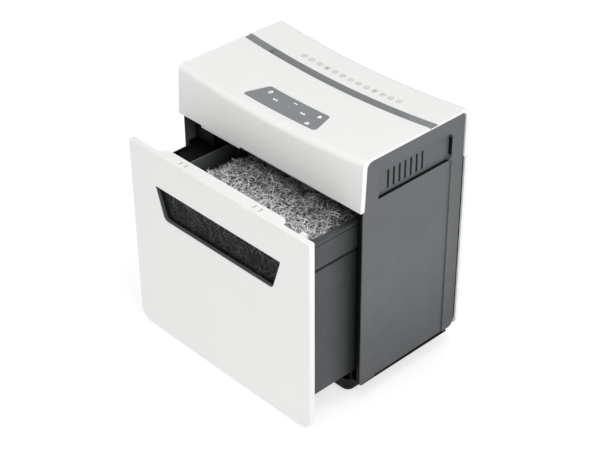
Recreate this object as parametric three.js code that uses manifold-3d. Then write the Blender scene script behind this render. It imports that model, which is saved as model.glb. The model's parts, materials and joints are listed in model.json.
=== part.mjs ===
// Compact A4 paper shredder with a pull-out bin.
// Millimetres, +Z up. The machine stands on the plane z = 0, its front faces -Y.
// Design frame: y = 0 is the front edge of the side panels; the whole machine is
// then moved along Y so that the origin is the bottom centre of the bounding box.
import * as THREE from 'three';
import { mergeVertices } from 'three/addons/utils/BufferGeometryUtils.js';
import Module from 'manifold-3d';

const wasm = await Module();
wasm.setup();

// ---------------------------------------------------------------- driving dimensions
const COVER_W = 315;          // top cover, over its rims
const BODY_W = 311;           // over the side panels
const PANEL_T = 5.3;          // side panel thickness
const PANEL_Z = 24;           // lower edge of the side panels
const COVER_Z = 275.5;        // lower edge of the top cover's fascia
const TOP_Z = 342;            // top of the cover at its side rims
const SAG = 9.3;              // how far the top sinks at the middle of its width
const FASCIA_Y0 = -5.6;       // fascia plane at its lower edge
const FASCIA_Y1 = -1.9;       // fascia plane at its upper edge
const COVER_BACK_Y = 174.3;   // rear face of the cover
const BACK_Y = 175.5;         // rear face of the back cover
const RIM_F = 6.6;            // cover thickness along its front edge
const RIM_T = 4;              // cover thickness on top
const RIM_B = 6;              // cover thickness along its back edge
const PULL = 76.8;            // how far the drawer stands open at rest
const DRAWER_Y = -7.7 - PULL; // front face of the drawer at rest; -7.7 when it is shut
const DRAWER_Z0 = 2.9;        // lower edge of the drawer front
const DRAWER_Z1 = 272.3;      // upper edge of the drawer front
const SKIN = 3;               // moulded skin of the drawer front
const FLANGE = 7.8;           // depth of the drawer front's edge flange
const GRIP_X = 107;           // half width of the finger grip
const GRIP_D = 17.6;          // depth of the finger grip
const WIN_Z0 = 183.3, WIN_Z1 = 225.4, WIN_X0 = 95.5, WIN_X1 = 109.5; // window opening
const THROAT_W = 226;         // clear width of the paper throat (A4 is 210)
const SLOT_Y0 = 105.3, SLOT_Y1 = 117.2;    // grey slot strip
const THROAT_Y0 = 106.4, THROAT_Y1 = 111.4;
const CP = { y0: 16.4, y1: 51.8, x0: 62, x1: 50.5, r: 4 };   // touch panel, a trapezoid
const SHAFT_Z = 300, SHAFT_YF = 93.5, SHAFT_YR = 124.5; // cutter shafts
const CUT_R = 17, CORE_R = 12.6, CUT_PITCH = 12.5, CUT_COUNT = 17, CUT_W = 5.4;
const BIN_X = 146.4, BIN_TOP = 260, BIN_SEAM = 223.3, BIN_Z = 40;
const BIN_YF = 13.2, BIN_L = 143;  // bin front behind the drawer face, and its length
const GAP = 0.3;              // assembly gap between touching pieces
const ORIGIN_Y = (DRAWER_Y + BACK_Y) / 2;

// ---------------------------------------------------------------- materials
const std = (color, roughness, metalness = 0) => new THREE.MeshStandardMaterial({ color, roughness, metalness });
const M = {
  white: std(0xe9e9e7, 0.45), grey: std(0x6d7273, 0.5), panel: std(0x80868a, 0.35),
  dark: std(0x17191b, 0.55), bin: std(0x4c5051, 0.5), rubber: std(0x1a1a1a, 0.9),
  window: std(0x101416, 0.08), steel: std(0x9aa0a4, 0.35, 0.9), darkSteel: std(0x5b6064, 0.4, 0.9),
  gear: std(0xd9d4c4, 0.5), board: std(0x1f5a3a, 0.6), brass: std(0xb08d4a, 0.4, 0.9),
  motor: std(0x8c9195, 0.4, 0.8), lead: std(0x222222, 0.6),
};

// ---------------------------------------------------------------- helpers
const root = new THREE.Group();
root.position.y = -ORIGIN_Y;

function solid(geometry) {
  const g = geometry.clone();
  g.deleteAttribute('normal');
  g.deleteAttribute('uv');
  const m = mergeVertices(g, 1e-4);
  const p = m.attributes.position.array, t = new Uint32Array(m.index.array);
  let v = 0;   // signed volume: a profile given the other way round is turned face out
  for (let i = 0; i < t.length; i += 3) {
    const [a, b, c] = [t[i] * 3, t[i + 1] * 3, t[i + 2] * 3];
    v += p[a] * (p[b + 1] * p[c + 2] - p[b + 2] * p[c + 1]) - p[a + 1] * (p[b] * p[c + 2] - p[b + 2] * p[c]) + p[a + 2] * (p[b] * p[c + 1] - p[b + 1] * p[c]);
  }
  if (v < 0) for (let i = 0; i < t.length; i += 3) [t[i + 1], t[i + 2]] = [t[i + 2], t[i + 1]];
  return new wasm.Manifold(new wasm.Mesh({ numProp: 3, vertProperties: new Float32Array(p), triVerts: t }));
}
function geometryOf(manifold) {
  const mesh = manifold.getMesh();
  const g = new THREE.BufferGeometry();
  g.setAttribute('position', new THREE.BufferAttribute(new Float32Array(mesh.vertProperties), 3));
  g.setIndex(new THREE.BufferAttribute(new Uint32Array(mesh.triVerts), 1));
  g.computeVertexNormals();
  return g;
}
function put(name, shape, material, parent = root) {
  const g = geometryOf(shape instanceof THREE.BufferGeometry ? solid(shape) : shape);
  const mesh = new THREE.Mesh(g, material);
  mesh.name = name;
  parent.add(mesh);
  return mesh;
}
// Moves local (x, y, z) of an extrusion to the part's axes.
const ALONG = {
  x: new THREE.Matrix4().set(0, 0, 1, 0, 1, 0, 0, 0, 0, 1, 0, 0, 0, 0, 0, 1), // outline (Y,Z), extruded along X
  y: new THREE.Matrix4().set(1, 0, 0, 0, 0, 0, -1, 0, 0, 1, 0, 0, 0, 0, 0, 1), // outline (X,Z), extruded along -Y
  z: new THREE.Matrix4(),                                                      // outline (X,Y), extruded along Z
};
function outline(points) {
  return new THREE.Shape(points.map((p) => new THREE.Vector2(p[0], p[1])));
}
// Prism of an outline between a and b on the axis.
function prism(axis, points, a, b, steps = 1, holes = []) {
  const s = points instanceof THREE.Shape ? points : outline(points);
  for (const h of holes) s.holes.push(new THREE.Path(h.map((p) => new THREE.Vector2(p[0], p[1]))));
  const g = new THREE.ExtrudeGeometry(s, { depth: b - a, steps, bevelEnabled: false, curveSegments: 6 });
  g.applyMatrix4(ALONG[axis]);
  if (axis === 'x') g.translate(a, 0, 0);
  if (axis === 'y') g.translate(0, b, 0);
  if (axis === 'z') g.translate(0, 0, a);
  return g;
}
const P = (...a) => solid(prism(...a));
function box(x0, x1, y0, y1, z0, z1) {
  const g = new THREE.BoxGeometry(x1 - x0, y1 - y0, z1 - z0);
  g.translate((x0 + x1) / 2, (y0 + y1) / 2, (z0 + z1) / 2);
  return solid(g);
}
// Outline with its corners rounded; radii follow the corners.
function rounded(points, radii, segments = 4) {
  const out = [];
  const n = points.length;
  for (let i = 0; i < n; i++) {
    const r = Array.isArray(radii) ? radii[i] : radii;
    const p = new THREE.Vector2(...points[i]);
    if (!r) { out.push([p.x, p.y]); continue; }
    const a = new THREE.Vector2(...points[(i + n - 1) % n]).sub(p).normalize();
    const b = new THREE.Vector2(...points[(i + 1) % n]).sub(p).normalize();
    const half = Math.acos(THREE.MathUtils.clamp(a.dot(b), -1, 1)) / 2;
    const d = r / Math.tan(half);
    const c = p.clone().add(a.clone().add(b).normalize().multiplyScalar(r / Math.sin(half)));
    const s = p.clone().add(a.multiplyScalar(d)).sub(c), e = p.clone().add(b.multiplyScalar(d)).sub(c);
    const t0 = s.angle();
    let dt = e.angle() - t0;
    while (dt > Math.PI) dt -= 2 * Math.PI;
    while (dt < -Math.PI) dt += 2 * Math.PI;
    for (let k = 0; k <= segments; k++) {
      const t = t0 + (dt * k) / segments;
      out.push([c.x + r * Math.cos(t), c.y + r * Math.sin(t)]);
    }
  }
  return out;
}
const rect = (a0, a1, b0, b1) => [[a0, b0], [a1, b0], [a1, b1], [a0, b1]];
// Ring or disc about an axis parallel to X; profile is [x, radius] pairs.
function turnedX(profile, y, z, segments = 16) {
  const g = new THREE.LatheGeometry(profile.map((p) => new THREE.Vector2(p[1], p[0])), segments);
  g.applyMatrix4(new THREE.Matrix4().set(0, 1, 0, 0, 0, 0, 1, 0, 1, 0, 0, 0, 0, 0, 0, 1));
  g.translate(0, y, z);
  return g;
}
function rod(axis, r, a, b, u, v, segments = 12) {
  const g = new THREE.CylinderGeometry(r, r, b - a, segments);
  if (axis === 'x') { g.rotateZ(-Math.PI / 2); g.translate((a + b) / 2, u, v); }
  if (axis === 'y') g.translate(u, (a + b) / 2, v);
  if (axis === 'z') { g.rotateX(Math.PI / 2); g.translate(u, v, (a + b) / 2); }
  return solid(g);
}
// How far the concave top has sunk at x.
const sag = (x) => SAG * Math.max(0, 1 - (x / (COVER_W / 2)) ** 2);
// Sinks every point above z by the top's sag.
function sink(g, above = -Infinity) {
  const p = g.attributes.position;
  for (let i = 0; i < p.count; i++) if (p.getZ(i) > above) p.setZ(i, p.getZ(i) - sag(p.getX(i)));
  return g;
}
// Slab that follows the concave top between two depths below it.
function topSlab(x0, x1, y0, y1, deep, high, steps = 12) {
  return solid(sink(prism('x', rect(y0, y1, TOP_Z - deep, TOP_Z - high), x0, x1, steps)));
}

// ---------------------------------------------------------------- top cover
const yFront = (z) => FASCIA_Y0 + ((FASCIA_Y1 - FASCIA_Y0) * (z - COVER_Z)) / (TOP_Z - COVER_Z);
const coverOuter = [[FASCIA_Y0, COVER_Z], [FASCIA_Y1, TOP_Z], [COVER_BACK_Y, TOP_Z], [COVER_BACK_Y, COVER_Z + 0.8]];
const innerTop = TOP_Z - RIM_T;
const coverInner = [
  [COVER_BACK_Y - RIM_B, COVER_Z + 0.8], [COVER_BACK_Y - RIM_B, innerTop],
  [yFront(innerTop) + RIM_F, innerTop], [FASCIA_Y0 + RIM_F, COVER_Z],
];
const coverProfile = rounded([...coverOuter, ...coverInner], [0.8, 4.5, 8, 0.6, 0, 4, 3, 0], 3);
let cover = solid(sink(prism('x', coverProfile, -COVER_W / 2, COVER_W / 2, 16), 320));
const cpOutline = (grow) => rounded([
  [-CP.x0 - grow, CP.y0 - grow], [CP.x0 + grow, CP.y0 - grow],
  [CP.x1 + grow, CP.y1 + grow], [-CP.x1 - grow, CP.y1 + grow]], CP.r + grow, 4);
cover = cover
  .subtract(topSlab(-90, 90, 5, 70, 1.2, -6).intersect(P('z', cpOutline(GAP), 300, 360)))
  .subtract(box(-40, 40, 24, 44, 300, 360))
  .subtract(topSlab(-COVER_W / 2 - 1, COVER_W / 2 + 1, SLOT_Y0 - GAP, SLOT_Y1 + GAP, 2.3, -6, 16))
  .subtract(box(-THROAT_W / 2 - 3, THROAT_W / 2 + 3, SLOT_Y0 - GAP, SLOT_Y1 + GAP, 320, 345))
  .subtract(P('y', rounded(rect(-115, -87, 296, 317), 2, 3), 160, 180))        // power inlet
  .subtract(P('y', rounded(rect(-76, -52, 297, 316), 2, 3), 160, 180));        // mains switch
put('top_cover', cover, M.white);

// touch panel and its board
put('control_panel', topSlab(-90, 90, 5, 70, 0.9, 0.25).intersect(P('z', cpOutline(0), 300, 360)), M.panel);
put('control_board', box(-38, 38, 22, 46, 324.4, 326.4)
  .add(box(-30, -22, 28, 36, 326.3, 330)).add(box(22, 30, 28, 36, 326.3, 330)).add(box(-6, 6, 30, 38, 320.6, 324.5)), M.board);

// grey slot strip with the paper throat
const stripSection = [
  [SLOT_Y0, TOP_Z - 2], [SLOT_Y1, TOP_Z - 2], [SLOT_Y1, TOP_Z - 0.6], [SLOT_Y1 - 0.9, TOP_Z - 0.6],
  [THROAT_Y1 + 0.6, TOP_Z - 1.7], [THROAT_Y0 - 0.5, TOP_Z - 1.7], [THROAT_Y0 - 0.6, TOP_Z - 0.6], [SLOT_Y0, TOP_Z - 0.6]];
let strip = solid(sink(prism('x', stripSection, -COVER_W / 2 + 0.4, COVER_W / 2 - 0.4, 16)));
strip = strip
  .add(solid(sink(prism('x', [[SLOT_Y0, TOP_Z - 12], [THROAT_Y1 + 2.2, TOP_Z - 12], [SLOT_Y1, TOP_Z - 3], [SLOT_Y1, TOP_Z - 0.7], [SLOT_Y0, TOP_Z - 0.7]],
    -THROAT_W / 2 - 2.6, THROAT_W / 2 + 2.6, 12))))
  .subtract(solid(sink(prism('x', [[THROAT_Y0, TOP_Z - 14], [THROAT_Y1, TOP_Z - 14], [THROAT_Y1, TOP_Z - 5], [SLOT_Y1 - 1, TOP_Z - 0.5], [SLOT_Y1 - 1, TOP_Z + 1], [THROAT_Y0, TOP_Z + 1]],
    -THROAT_W / 2, THROAT_W / 2, 12))));
put('slot_insert', strip, M.panel);
put('paper_sensor_emitter', box(-6, 6, SLOT_Y0 - 7.5, SLOT_Y0 - 0.4, 322, 328.2), M.dark);
put('paper_sensor_receiver', box(-6, 6, SLOT_Y1 + 0.4, SLOT_Y1 + 7.5, 322, 328.2), M.dark);

// ---------------------------------------------------------------- side panels
const panelIn = BODY_W / 2 - PANEL_T;
function sidePanel(s) {
  const px = (a, b) => (s > 0 ? [a, b] : [-b, -a]);
  const xr = (a, b, pts) => P('x', pts, ...px(a, b));
  const topIn = innerTop - sag(panelIn) - GAP;
  const edge = rounded([
    [0.6, PANEL_Z], [0.6, COVER_Z - 0.4], [FASCIA_Y0 + RIM_F + GAP + 0.1, COVER_Z], [yFront(topIn) + RIM_F + GAP, topIn],
    [COVER_BACK_Y - RIM_B - GAP, topIn], [COVER_BACK_Y - RIM_B - GAP, PANEL_Z + 2]].reverse(), [10, 6, 3.5, 0, 0, 1.2], 4);
  let p = xr(panelIn, BODY_W / 2, edge);
  p = p.add(xr(panelIn - 1.9, panelIn + 0.5, rounded(rect(21, 150, 277, 322), 5)));
  // shallow recess of the lower panel, and the deeper vent recess above it
  p = p.subtract(xr(BODY_W / 2 - 1.5, BODY_W / 2 + 1, rounded(rect(25.3, 147.3, 10, 280.6), [0, 0, 1, 1], 2)));
  p = p.subtract(xr(BODY_W / 2 - 5, BODY_W / 2 + 1, rounded(rect(24.5, 147.3, 280.2, 317.8), [0.5, 6, 6, 6], 4)));
  for (let i = 0; i < 7; i++) {
    const y = 44.8 + i * 9.42;
    p = p.subtract(xr(panelIn - 4, BODY_W / 2, rounded(rect(y - 1.5, y + 1.5, 286, 310), 1.45, 2)));
  }
  return p;
}
put('side_panel_right', sidePanel(1), M.grey);
put('side_panel_left', sidePanel(-1), M.grey);

// ---------------------------------------------------------------- back cover
let back = P('y', rounded(rect(-COVER_W / 2, COVER_W / 2, PANEL_Z + 2.5, COVER_Z), [9, 9, 1, 1], 4), 170, BACK_Y);
back = back.subtract(box(-COVER_W / 2 + 5, COVER_W / 2 - 5, 160, 172.5, PANEL_Z + 14, COVER_Z - 6));
const SCREWS = [[-138, 44], [138, 44], [-138, 256], [138, 256]];
for (const [x, z] of SCREWS) back = back.add(rod('y', 7, 170, 173.5, x, z, 12)).subtract(rod('y', 4.2, 173, 180, x, z, 12)).subtract(rod('y', 2, 160, 180, x, z, 8));
for (let i = 0; i < 9; i++) {   // air slots across the upper back
  const z = 216 + i * 5.2;
  if (i < 6) back = back.subtract(P('y', rounded(rect(-62, 62, z, z + 2.6), 1.2, 2), 160, 180));
}
put('back_cover', back, M.white);
for (const [i, [x, z]] of SCREWS.entries()) {
  const g = rod('y', 3.4, 173.3, 175.2, x, z, 12).add(rod('y', 1.6, 163, 173.5, x, z, 8))
    .subtract(box(x - 2.2, x + 2.2, 174.4, 176, z - 0.45, z + 0.45)).subtract(box(x - 0.45, x + 0.45, 174.4, 176, z - 2.2, z + 2.2));
  put(`back_screw_${i + 1}`, g, M.darkSteel);
}

// ---------------------------------------------------------------- base
const BX = 137;
let base = P('z', rounded(rect(-BX, BX, -0.9, 168), [9, 9, 4, 4], 4), 4.2, 20)
  .add(box(-panelIn + GAP, panelIn - GAP, 5, 167.5, 19.9, PANEL_Z + 3))
  .subtract(box(-BX + 3, BX - 3, 2.2, 165, 0, 17));
for (const x of [-118, 118]) for (const y of [24, 144]) base = base.add(rod('z', 11, 6, 18, x, y, 16));
for (const x of [-60, 0, 60]) base = base.add(box(x - 1, x + 1, 1, 166, 11, 18));
base = base.add(box(-BX + 1.4, BX - 1.4, 83, 85, 11, 18));
base = base.subtract(box(-panelIn + 4, panelIn - 4, -5, 163.5, PANEL_Z, 40));
base = base.add(box(-146, 146, 163.5, 167.5, 20, 52)).subtract(rod('y', 2, 160, 170, -138, 44, 8)).subtract(rod('y', 2, 160, 170, 138, 44, 8));
put('base_tray', base, M.dark);
let nFoot = 0;
for (const x of [-118, 118]) for (const y of [24, 144]) {
  nFoot++;
  put(`foot_${nFoot}`, turnedFoot(x, y), M.rubber);
}
function turnedFoot(x, y) {
  const g = new THREE.LatheGeometry([[0, 0], [8.6, 0], [9.4, 0.8], [10, 5.7], [0, 5.7]].map((p) => new THREE.Vector2(...p)), 18);
  g.applyMatrix4(new THREE.Matrix4().set(1, 0, 0, 0, 0, 0, -1, 0, 0, 1, 0, 0, 0, 0, 0, 1));
  g.translate(x, y, 0);
  return g;
}
for (const s of [-1, 1]) {
  const x0 = s > 0 ? 122 : -138, x1 = s > 0 ? 138 : -122;
  let r = box(x0, x1, 4, 160, PANEL_Z + GAP, 35.4);
  r = r.add(s > 0 ? box(135, 138, 4, 160, 35, 38.6) : box(-138, -135, 4, 160, 35, 38.6));
  r = r.subtract(box(x0 + 3, x1 - 3, 0, 170, PANEL_Z - 1, 32.4));
  put(s > 0 ? 'runner_rail_right' : 'runner_rail_left', r, M.dark);
}

// ---------------------------------------------------------------- head frame above the drawer bay
const DX = panelIn - 0.4;
const POCKET_X = -117;
const deckSection = [
  [1.4, 272.9], [3.2, 272.9], [3.6, 273.4], [14, 273.4], [14, 262.2], [167.8, 262.2], [167.8, 266.4], [165.4, 266.4], [165.4, 264.8],
  [16.6, 264.8], [16.6, 276], [3.8, 276], [3.8, 282], [1.4, 274.8]];
const pocketSection = [
  [1.4, 272.9], [3.2, 272.9], [3.6, 273.4], [14, 273.4], [14, 237.6], [167.8, 237.6], [167.8, 266.4], [165.4, 266.4], [165.4, 240.2],
  [16.6, 240.2], [16.6, 276], [3.8, 276], [3.8, 282], [1.4, 274.8]];
let deck = P('x', deckSection, POCKET_X, DX)
  .add(P('x', pocketSection, -DX, POCKET_X + 1))
  .add(box(POCKET_X - 0.2, POCKET_X + 2.2, 14, 167.8, 237.6, 264.8))
  .add(box(-DX, -DX + 2, 14, 167.8, 237.6, 268))
  .add(box(DX - 2, DX, 14, 167.8, 262.2, 268))
  .subtract(box(-112, 112, 84, 134, 255, 270))
  .add(box(130, 146, 165.4, 167.8, 246, 263))
  .subtract(rod('y', 2, 160, 170, -138, 256, 8)).subtract(rod('y', 2, 160, 170, 138, 256, 8))
  .subtract(box(131.2, 134.8, 13, 18, 266.3, 269.7))
  .subtract(box(-62, -57, 0, 8, 268, 273.3));
put('head_frame', deck, M.dark);

// ---------------------------------------------------------------- cutting block
const plateHole = (y, r) => rod('x', r, -130, 130, y, SHAFT_Z, 14);
const plateL = P('x', rounded([[16.8 + 2, 246], [60, 246], [100, 246], [150, 268], [150, 326], [72, 326], [60, 320], [18.8, 320]], 3, 3), -121, -118.6);
const MOTOR = { y: 35.6, z: 296, r: 21.5 };
const ID1 = { y: 50.57, z: 270 }, ID2 = { y: 80, z: 275.8 };
put('cutter_plate_left', plateL.subtract(plateHole(SHAFT_YF, 8.3)).subtract(plateHole(SHAFT_YR, 8.3))
  .subtract(rod('x', 9, -130, -110, MOTOR.y, MOTOR.z, 18))
  .subtract(rod('x', 3.3, -130, -110, ID1.y, ID1.z, 12)).subtract(rod('x', 3.3, -130, -110, ID2.y, ID2.z, 12))
  .subtract(rod('x', 4.3, -130, -110, 78, 318, 12)).subtract(rod('x', 4.3, -130, -110, 143, 272, 12)), M.steel);
const plateR = P('x', rounded([[70, 265.2], [150, 265.2], [150, 326], [70, 326]], 4, 3), 118.6, 121);
put('cutter_plate_right', plateR.subtract(plateHole(SHAFT_YF, 8.3)).subtract(plateHole(SHAFT_YR, 8.3))
  .subtract(rod('x', 4.3, 110, 130, 78, 318, 12)).subtract(rod('x', 4.3, 110, 130, 143, 272, 12)), M.steel);
put('tie_rod_front', rod('x', 4, -122, 122, 78, 318, 10), M.steel);
put('tie_rod_rear', rod('x', 4, -122, 122, 143, 272, 10), M.steel);
for (const [name, y, x] of [['bearing_front_left', SHAFT_YF, -1], ['bearing_rear_left', SHAFT_YR, -1], ['bearing_front_right', SHAFT_YF, 1], ['bearing_rear_right', SHAFT_YR, 1]]) {
  const a = 116 * x, b = 122 * x, c = 118.2 * x;
  const pr = [[a, 4.7], [a, 10], [c, 10], [c, 8], [b, 8], [b, 4.7], [a, 4.7]];
  put(name, turnedX(pr, y, SHAFT_Z, 12), M.brass);
}
// cutter shafts: discs on a core, the two shafts offset by half a pitch
function cutterProfile(offset, left, right) {
  const pts = [[left, 0], [left, 4.3], [-115.4, 4.3], [-115.4, 8], [-113.2, 8]];
  for (let i = 0; i < CUT_COUNT; i++) {
    const c = (i - (CUT_COUNT - 1) / 2) * CUT_PITCH + offset;
    if (i === 0) pts.push([-113.2, CORE_R]);
    pts.push([c - CUT_W / 2, CORE_R], [c - CUT_W / 2 + 0.2, CUT_R], [c + CUT_W / 2 - 0.2, CUT_R], [c + CUT_W / 2, CORE_R]);
  }
  pts.push([113.2, CORE_R], [113.2, 8], [115.4, 8], [115.4, 4.3], [right, 4.3], [right, 0]);
  return pts;
}
const shaftF = new THREE.Group(), shaftR = new THREE.Group();
root.add(shaftF, shaftR);
put('cutter_shaft_front', turnedX(cutterProfile(-CUT_PITCH / 4, -134.2, 124), SHAFT_YF, SHAFT_Z, 8), M.darkSteel, shaftF);
put('cutter_shaft_rear', turnedX(cutterProfile(CUT_PITCH / 4, -128.2, 124), SHAFT_YR, SHAFT_Z, 8), M.darkSteel, shaftR);

// stripper combs: bars with fingers that lie between the discs
function comb(front) {
  const y0 = front ? 71 : 142.4, y1 = front ? 75.6 : 147;
  let c = box(-111, 111, y0, y1, 292, 308);
  const off = ((front ? -1 : 1) * CUT_PITCH) / 4;
  for (let i = 1; i < CUT_COUNT; i++) {
    const x = (i - CUT_COUNT / 2) * CUT_PITCH + off;
    c = c.add(front ? box(x - 2, x + 2, 75, 79.6, 295, 305) : box(x - 2, x + 2, 138.4, 143, 295, 305));
  }
  return c;
}
put('stripper_comb_front', comb(true), M.dark);
put('stripper_comb_rear', comb(false), M.dark);

// ---------------------------------------------------------------- gears
const PA = (20 * Math.PI) / 180, inv = (a) => Math.tan(a) - a;
function gearOutline(n, m, phase, { add = 0.8, ded = 1.2, thin = 0.8 } = {}) {
  const rp = (n * m) / 2, rb = rp * Math.cos(PA), ra = rp + add * m, rf = rp - ded * m;
  const psi = (r) => {
    const base = (thin * Math.PI * m) / (4 * rp) + inv(PA);
    return r <= rb ? base : base - inv(Math.acos(rb / r));
  };
  const pts = [];
  const put2 = (r, a) => pts.push([r * Math.cos(a), r * Math.sin(a)]);
  for (let i = 0; i < n; i++) {
    const a = phase + (i * 2 * Math.PI) / n;
    if (n < 16) { put2(rf, a - psi(rf)); put2(rp, a - psi(rp)); put2(ra, a - psi(ra)); put2(ra, a + psi(ra)); put2(rp, a + psi(rp)); put2(rf, a + psi(rf)); }
    else { put2(rf, a - psi(rb)); put2(ra, a - psi(ra)); put2(ra, a + psi(ra)); put2(rf, a + psi(rb)); }
  }
  return pts;
}
const circlePts = (r, n = 14) => Array.from({ length: n }, (_, i) => [r * Math.cos((i * 2 * Math.PI) / n), r * Math.sin((i * 2 * Math.PI) / n)]);
function gear(n, m, phase, x0, x1, y, z, bore) {
  const g = prism('x', gearOutline(n, m, phase), x0, x1, 1, bore ? [circlePts(bore).reverse()] : []);
  g.translate(0, y, z);
  return solid(g);
}
// Phase that puts gear 2 in mesh with gear 1 (a tooth gap facing a tooth).
function meshPhase(phase1, n1, c1, n2, c2, m) {
  const r1 = (n1 * m) / 2, r2 = (n2 * m) / 2;
  const t12 = Math.atan2(c2.z - c1.z, c2.y - c1.y), t21 = t12 + Math.PI;
  return t21 - ((phase1 - t12) * r1) / r2 + Math.PI / n2;
}
const SF = { y: SHAFT_YF, z: SHAFT_Z }, SR = { y: SHAFT_YR, z: SHAFT_Z };
const M1 = 1.55, M2 = 1.4, M3 = 1.5, M4 = 1.5;
const phF = 0.1;
put('timing_gear', gear(20, M1, meshPhase(phF, 20, SF, 20, SR, M1), -127.6, -122.9, SR.y, SR.z, 4.7), M.darkSteel, shaftR);
const phD = 0.05;
put('drive_gear', gear(20, M1, phF, -127.6, -122.9, SF.y, SF.z, 4.7).add(gear(30, M2, phD, -133.8, -128.6, SF.y, SF.z, 4.7)).add(solid(turnedX([[-128.7, 4.7], [-128.7, 11], [-127.5, 11], [-127.5, 4.7], [-128.7, 4.7]], SF.y, SF.z, 14))), M.darkSteel, shaftF);
const ph2s = meshPhase(phD, 30, SF, 10, ID2, M2);
const ph2b = 0.02;
put('reduction_gear_2', gear(10, M2, ph2s, -134.6, -128.4, ID2.y, ID2.z, 3.3).add(gear(32, M3, ph2b, -139.4, -134.5, ID2.y, ID2.z, 3.3)), M.gear);
const ph1s = meshPhase(ph2b, 32, ID2, 8, ID1, M3);
const ph1b = 0;
put('reduction_gear_1', gear(32, M4, ph1b, -127.6, -122.9, ID1.y, ID1.z, 2.9)
  .add(solid(turnedX([[-134.6, 2.9], [-134.6, 4], [-127.5, 4], [-127.5, 2.9], [-134.6, 2.9]], ID1.y, ID1.z, 14)))
  .add(gear(8, M3, ph1s, -139.4, -134.5, ID1.y, ID1.z, 2.9)), M.gear);
const phM = meshPhase(ph1b, 32, ID1, 8, MOTOR, M4);
put('gear_pin_1', rod('x', 2.6, -143.4, -118.2, ID1.y, ID1.z, 10), M.steel);
put('gear_pin_2', rod('x', 3, -143.4, -118.2, ID2.y, ID2.z, 10), M.steel);

// gearbox cover on the outside of the train
put('gearbox_cover', P('x', rounded([[20, 242.5], [112, 242.5], [146, 268], [146, 327], [20, 327]], 5, 3), -146.4, -143.8)
  .add(box(-143.9, -122.4, 142.5, 146, 280, 322)).add(box(-143.9, -122.4, 20, 23.2, 250, 318))
  .add(box(-143.9, -122.4, 24, 140, 323.2, 325.8)), M.dark);

// ---------------------------------------------------------------- motor
const motor = new THREE.Group();
root.add(motor);
put('motor_body', turnedX([
  [-106, 3.1], [-106, 8], [-103, 8], [-103, MOTOR.r - 3], [-101, MOTOR.r], [-86, MOTOR.r], [-86, MOTOR.r - 1.2], [-52, MOTOR.r - 1.2], [-52, MOTOR.r],
  [-40, MOTOR.r], [-38, MOTOR.r - 3], [-38, 8], [-35, 8], [-35, 3.1], [-106, 3.1]], MOTOR.y, MOTOR.z, 18), M.motor);
put('motor_shaft', rod('x', 2.6, -122.7, -24, MOTOR.y, MOTOR.z, 10).add(gear(8, M4, phM, -127.6, -122.6, MOTOR.y, MOTOR.z, 0)), M.steel, motor);
let fan = solid(turnedX([[-33, 2.9], [-33, 7], [-26, 7], [-26, 2.9], [-33, 2.9]], MOTOR.y, MOTOR.z, 16))
  .add(solid(turnedX([[-33, 6], [-33, 16.5], [-31.4, 16.5], [-31.4, 6], [-33, 6]], MOTOR.y, MOTOR.z, 20)));
for (let i = 0; i < 8; i++) {
  const g = new THREE.BoxGeometry(5.6, 1, 11);
  g.translate(-28.8, 0, 11.5);
  g.rotateX((i * Math.PI) / 4);
  g.translate(0, MOTOR.y, MOTOR.z);
  fan = fan.add(solid(g));
}
put('motor_fan', fan, M.dark, motor);
put('motor_bracket', box(-100, -44, 17.5, 54, 265.1, 268)
  .add(box(-96, -88, 20, 51, 267.9, 283)).add(box(-56, -48, 20, 51, 267.9, 283))
  .subtract(rod('x', MOTOR.r + 0.4, -110, -30, MOTOR.y, MOTOR.z, 24)), M.steel);

// ---------------------------------------------------------------- electrics
put('power_board', box(2, 108, 20, 68, 270, 271.6)
  .add(box(10, 34, 26, 50, 271.5, 292)).add(box(42, 58, 28, 44, 271.5, 284)).add(box(66, 90, 50, 62, 271.5, 286))
  .add(rod('z', 7, 271.5, 296, 78, 34, 14)).add(box(94, 104, 24, 40, 271.5, 282)).add(box(6, 12, 56, 64, 265.1, 270.5)).add(box(98, 104, 56, 64, 265.1, 270.5))
  .add(box(98, 104, 22, 30, 265.1, 270.5)).add(box(6, 12, 22, 30, 265.1, 270.5)), M.board);
put('power_inlet', P('y', rounded(rect(-114.6, -87.4, 296.4, 316.6), 2, 3), 158, 174.8)
  .add(P('y', rounded(rect(-117, -85, 294, 319), 3, 3), 172.9 + 1.7, 176.2).intersect(box(-200, 200, 174.6, 175.4, 200, 400)))
  .subtract(P('y', rounded(rect(-111.6, -90.4, 299.4, 313.6), [1, 1, 5, 5], 3), 161, 180))
  .add(box(-107.6, -106, 160, 170, 305, 309)).add(box(-101.8, -100.2, 160, 170, 307, 311)).add(box(-96, -94.4, 160, 170, 305, 309)), M.dark);
put('switch_housing', P('y', rounded(rect(-75.6, -52.4, 297.4, 315.6), 1.6, 3), 156, 174.8)
  .add(P('y', rounded(rect(-77.6, -50.4, 295.4, 317.6), 2, 3), 173.4, 175.4).subtract(box(-100, 0, 160, 174.6, 200, 400)))
  .subtract(box(-72.6, -55.4, 162.4, 180, 299.4, 313.6)), M.dark);
const rocker = new THREE.Group();
root.add(rocker);
const ROCK = { y: 170.8, z: 306.5 };
put('power_rocker', P('x', [[ROCK.y - 6.6, ROCK.z - 4], [ROCK.y - 6.6, ROCK.z + 4], [ROCK.y - 2.2, ROCK.z + 6.1], [ROCK.y + 4.2, ROCK.z + 5.2], [ROCK.y + 1.4, ROCK.z], [ROCK.y + 1.9, ROCK.z - 6.1], [ROCK.y - 2.2, ROCK.z - 6.3]].reverse(), -72.2, -55.8), M.dark, rocker);

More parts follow.
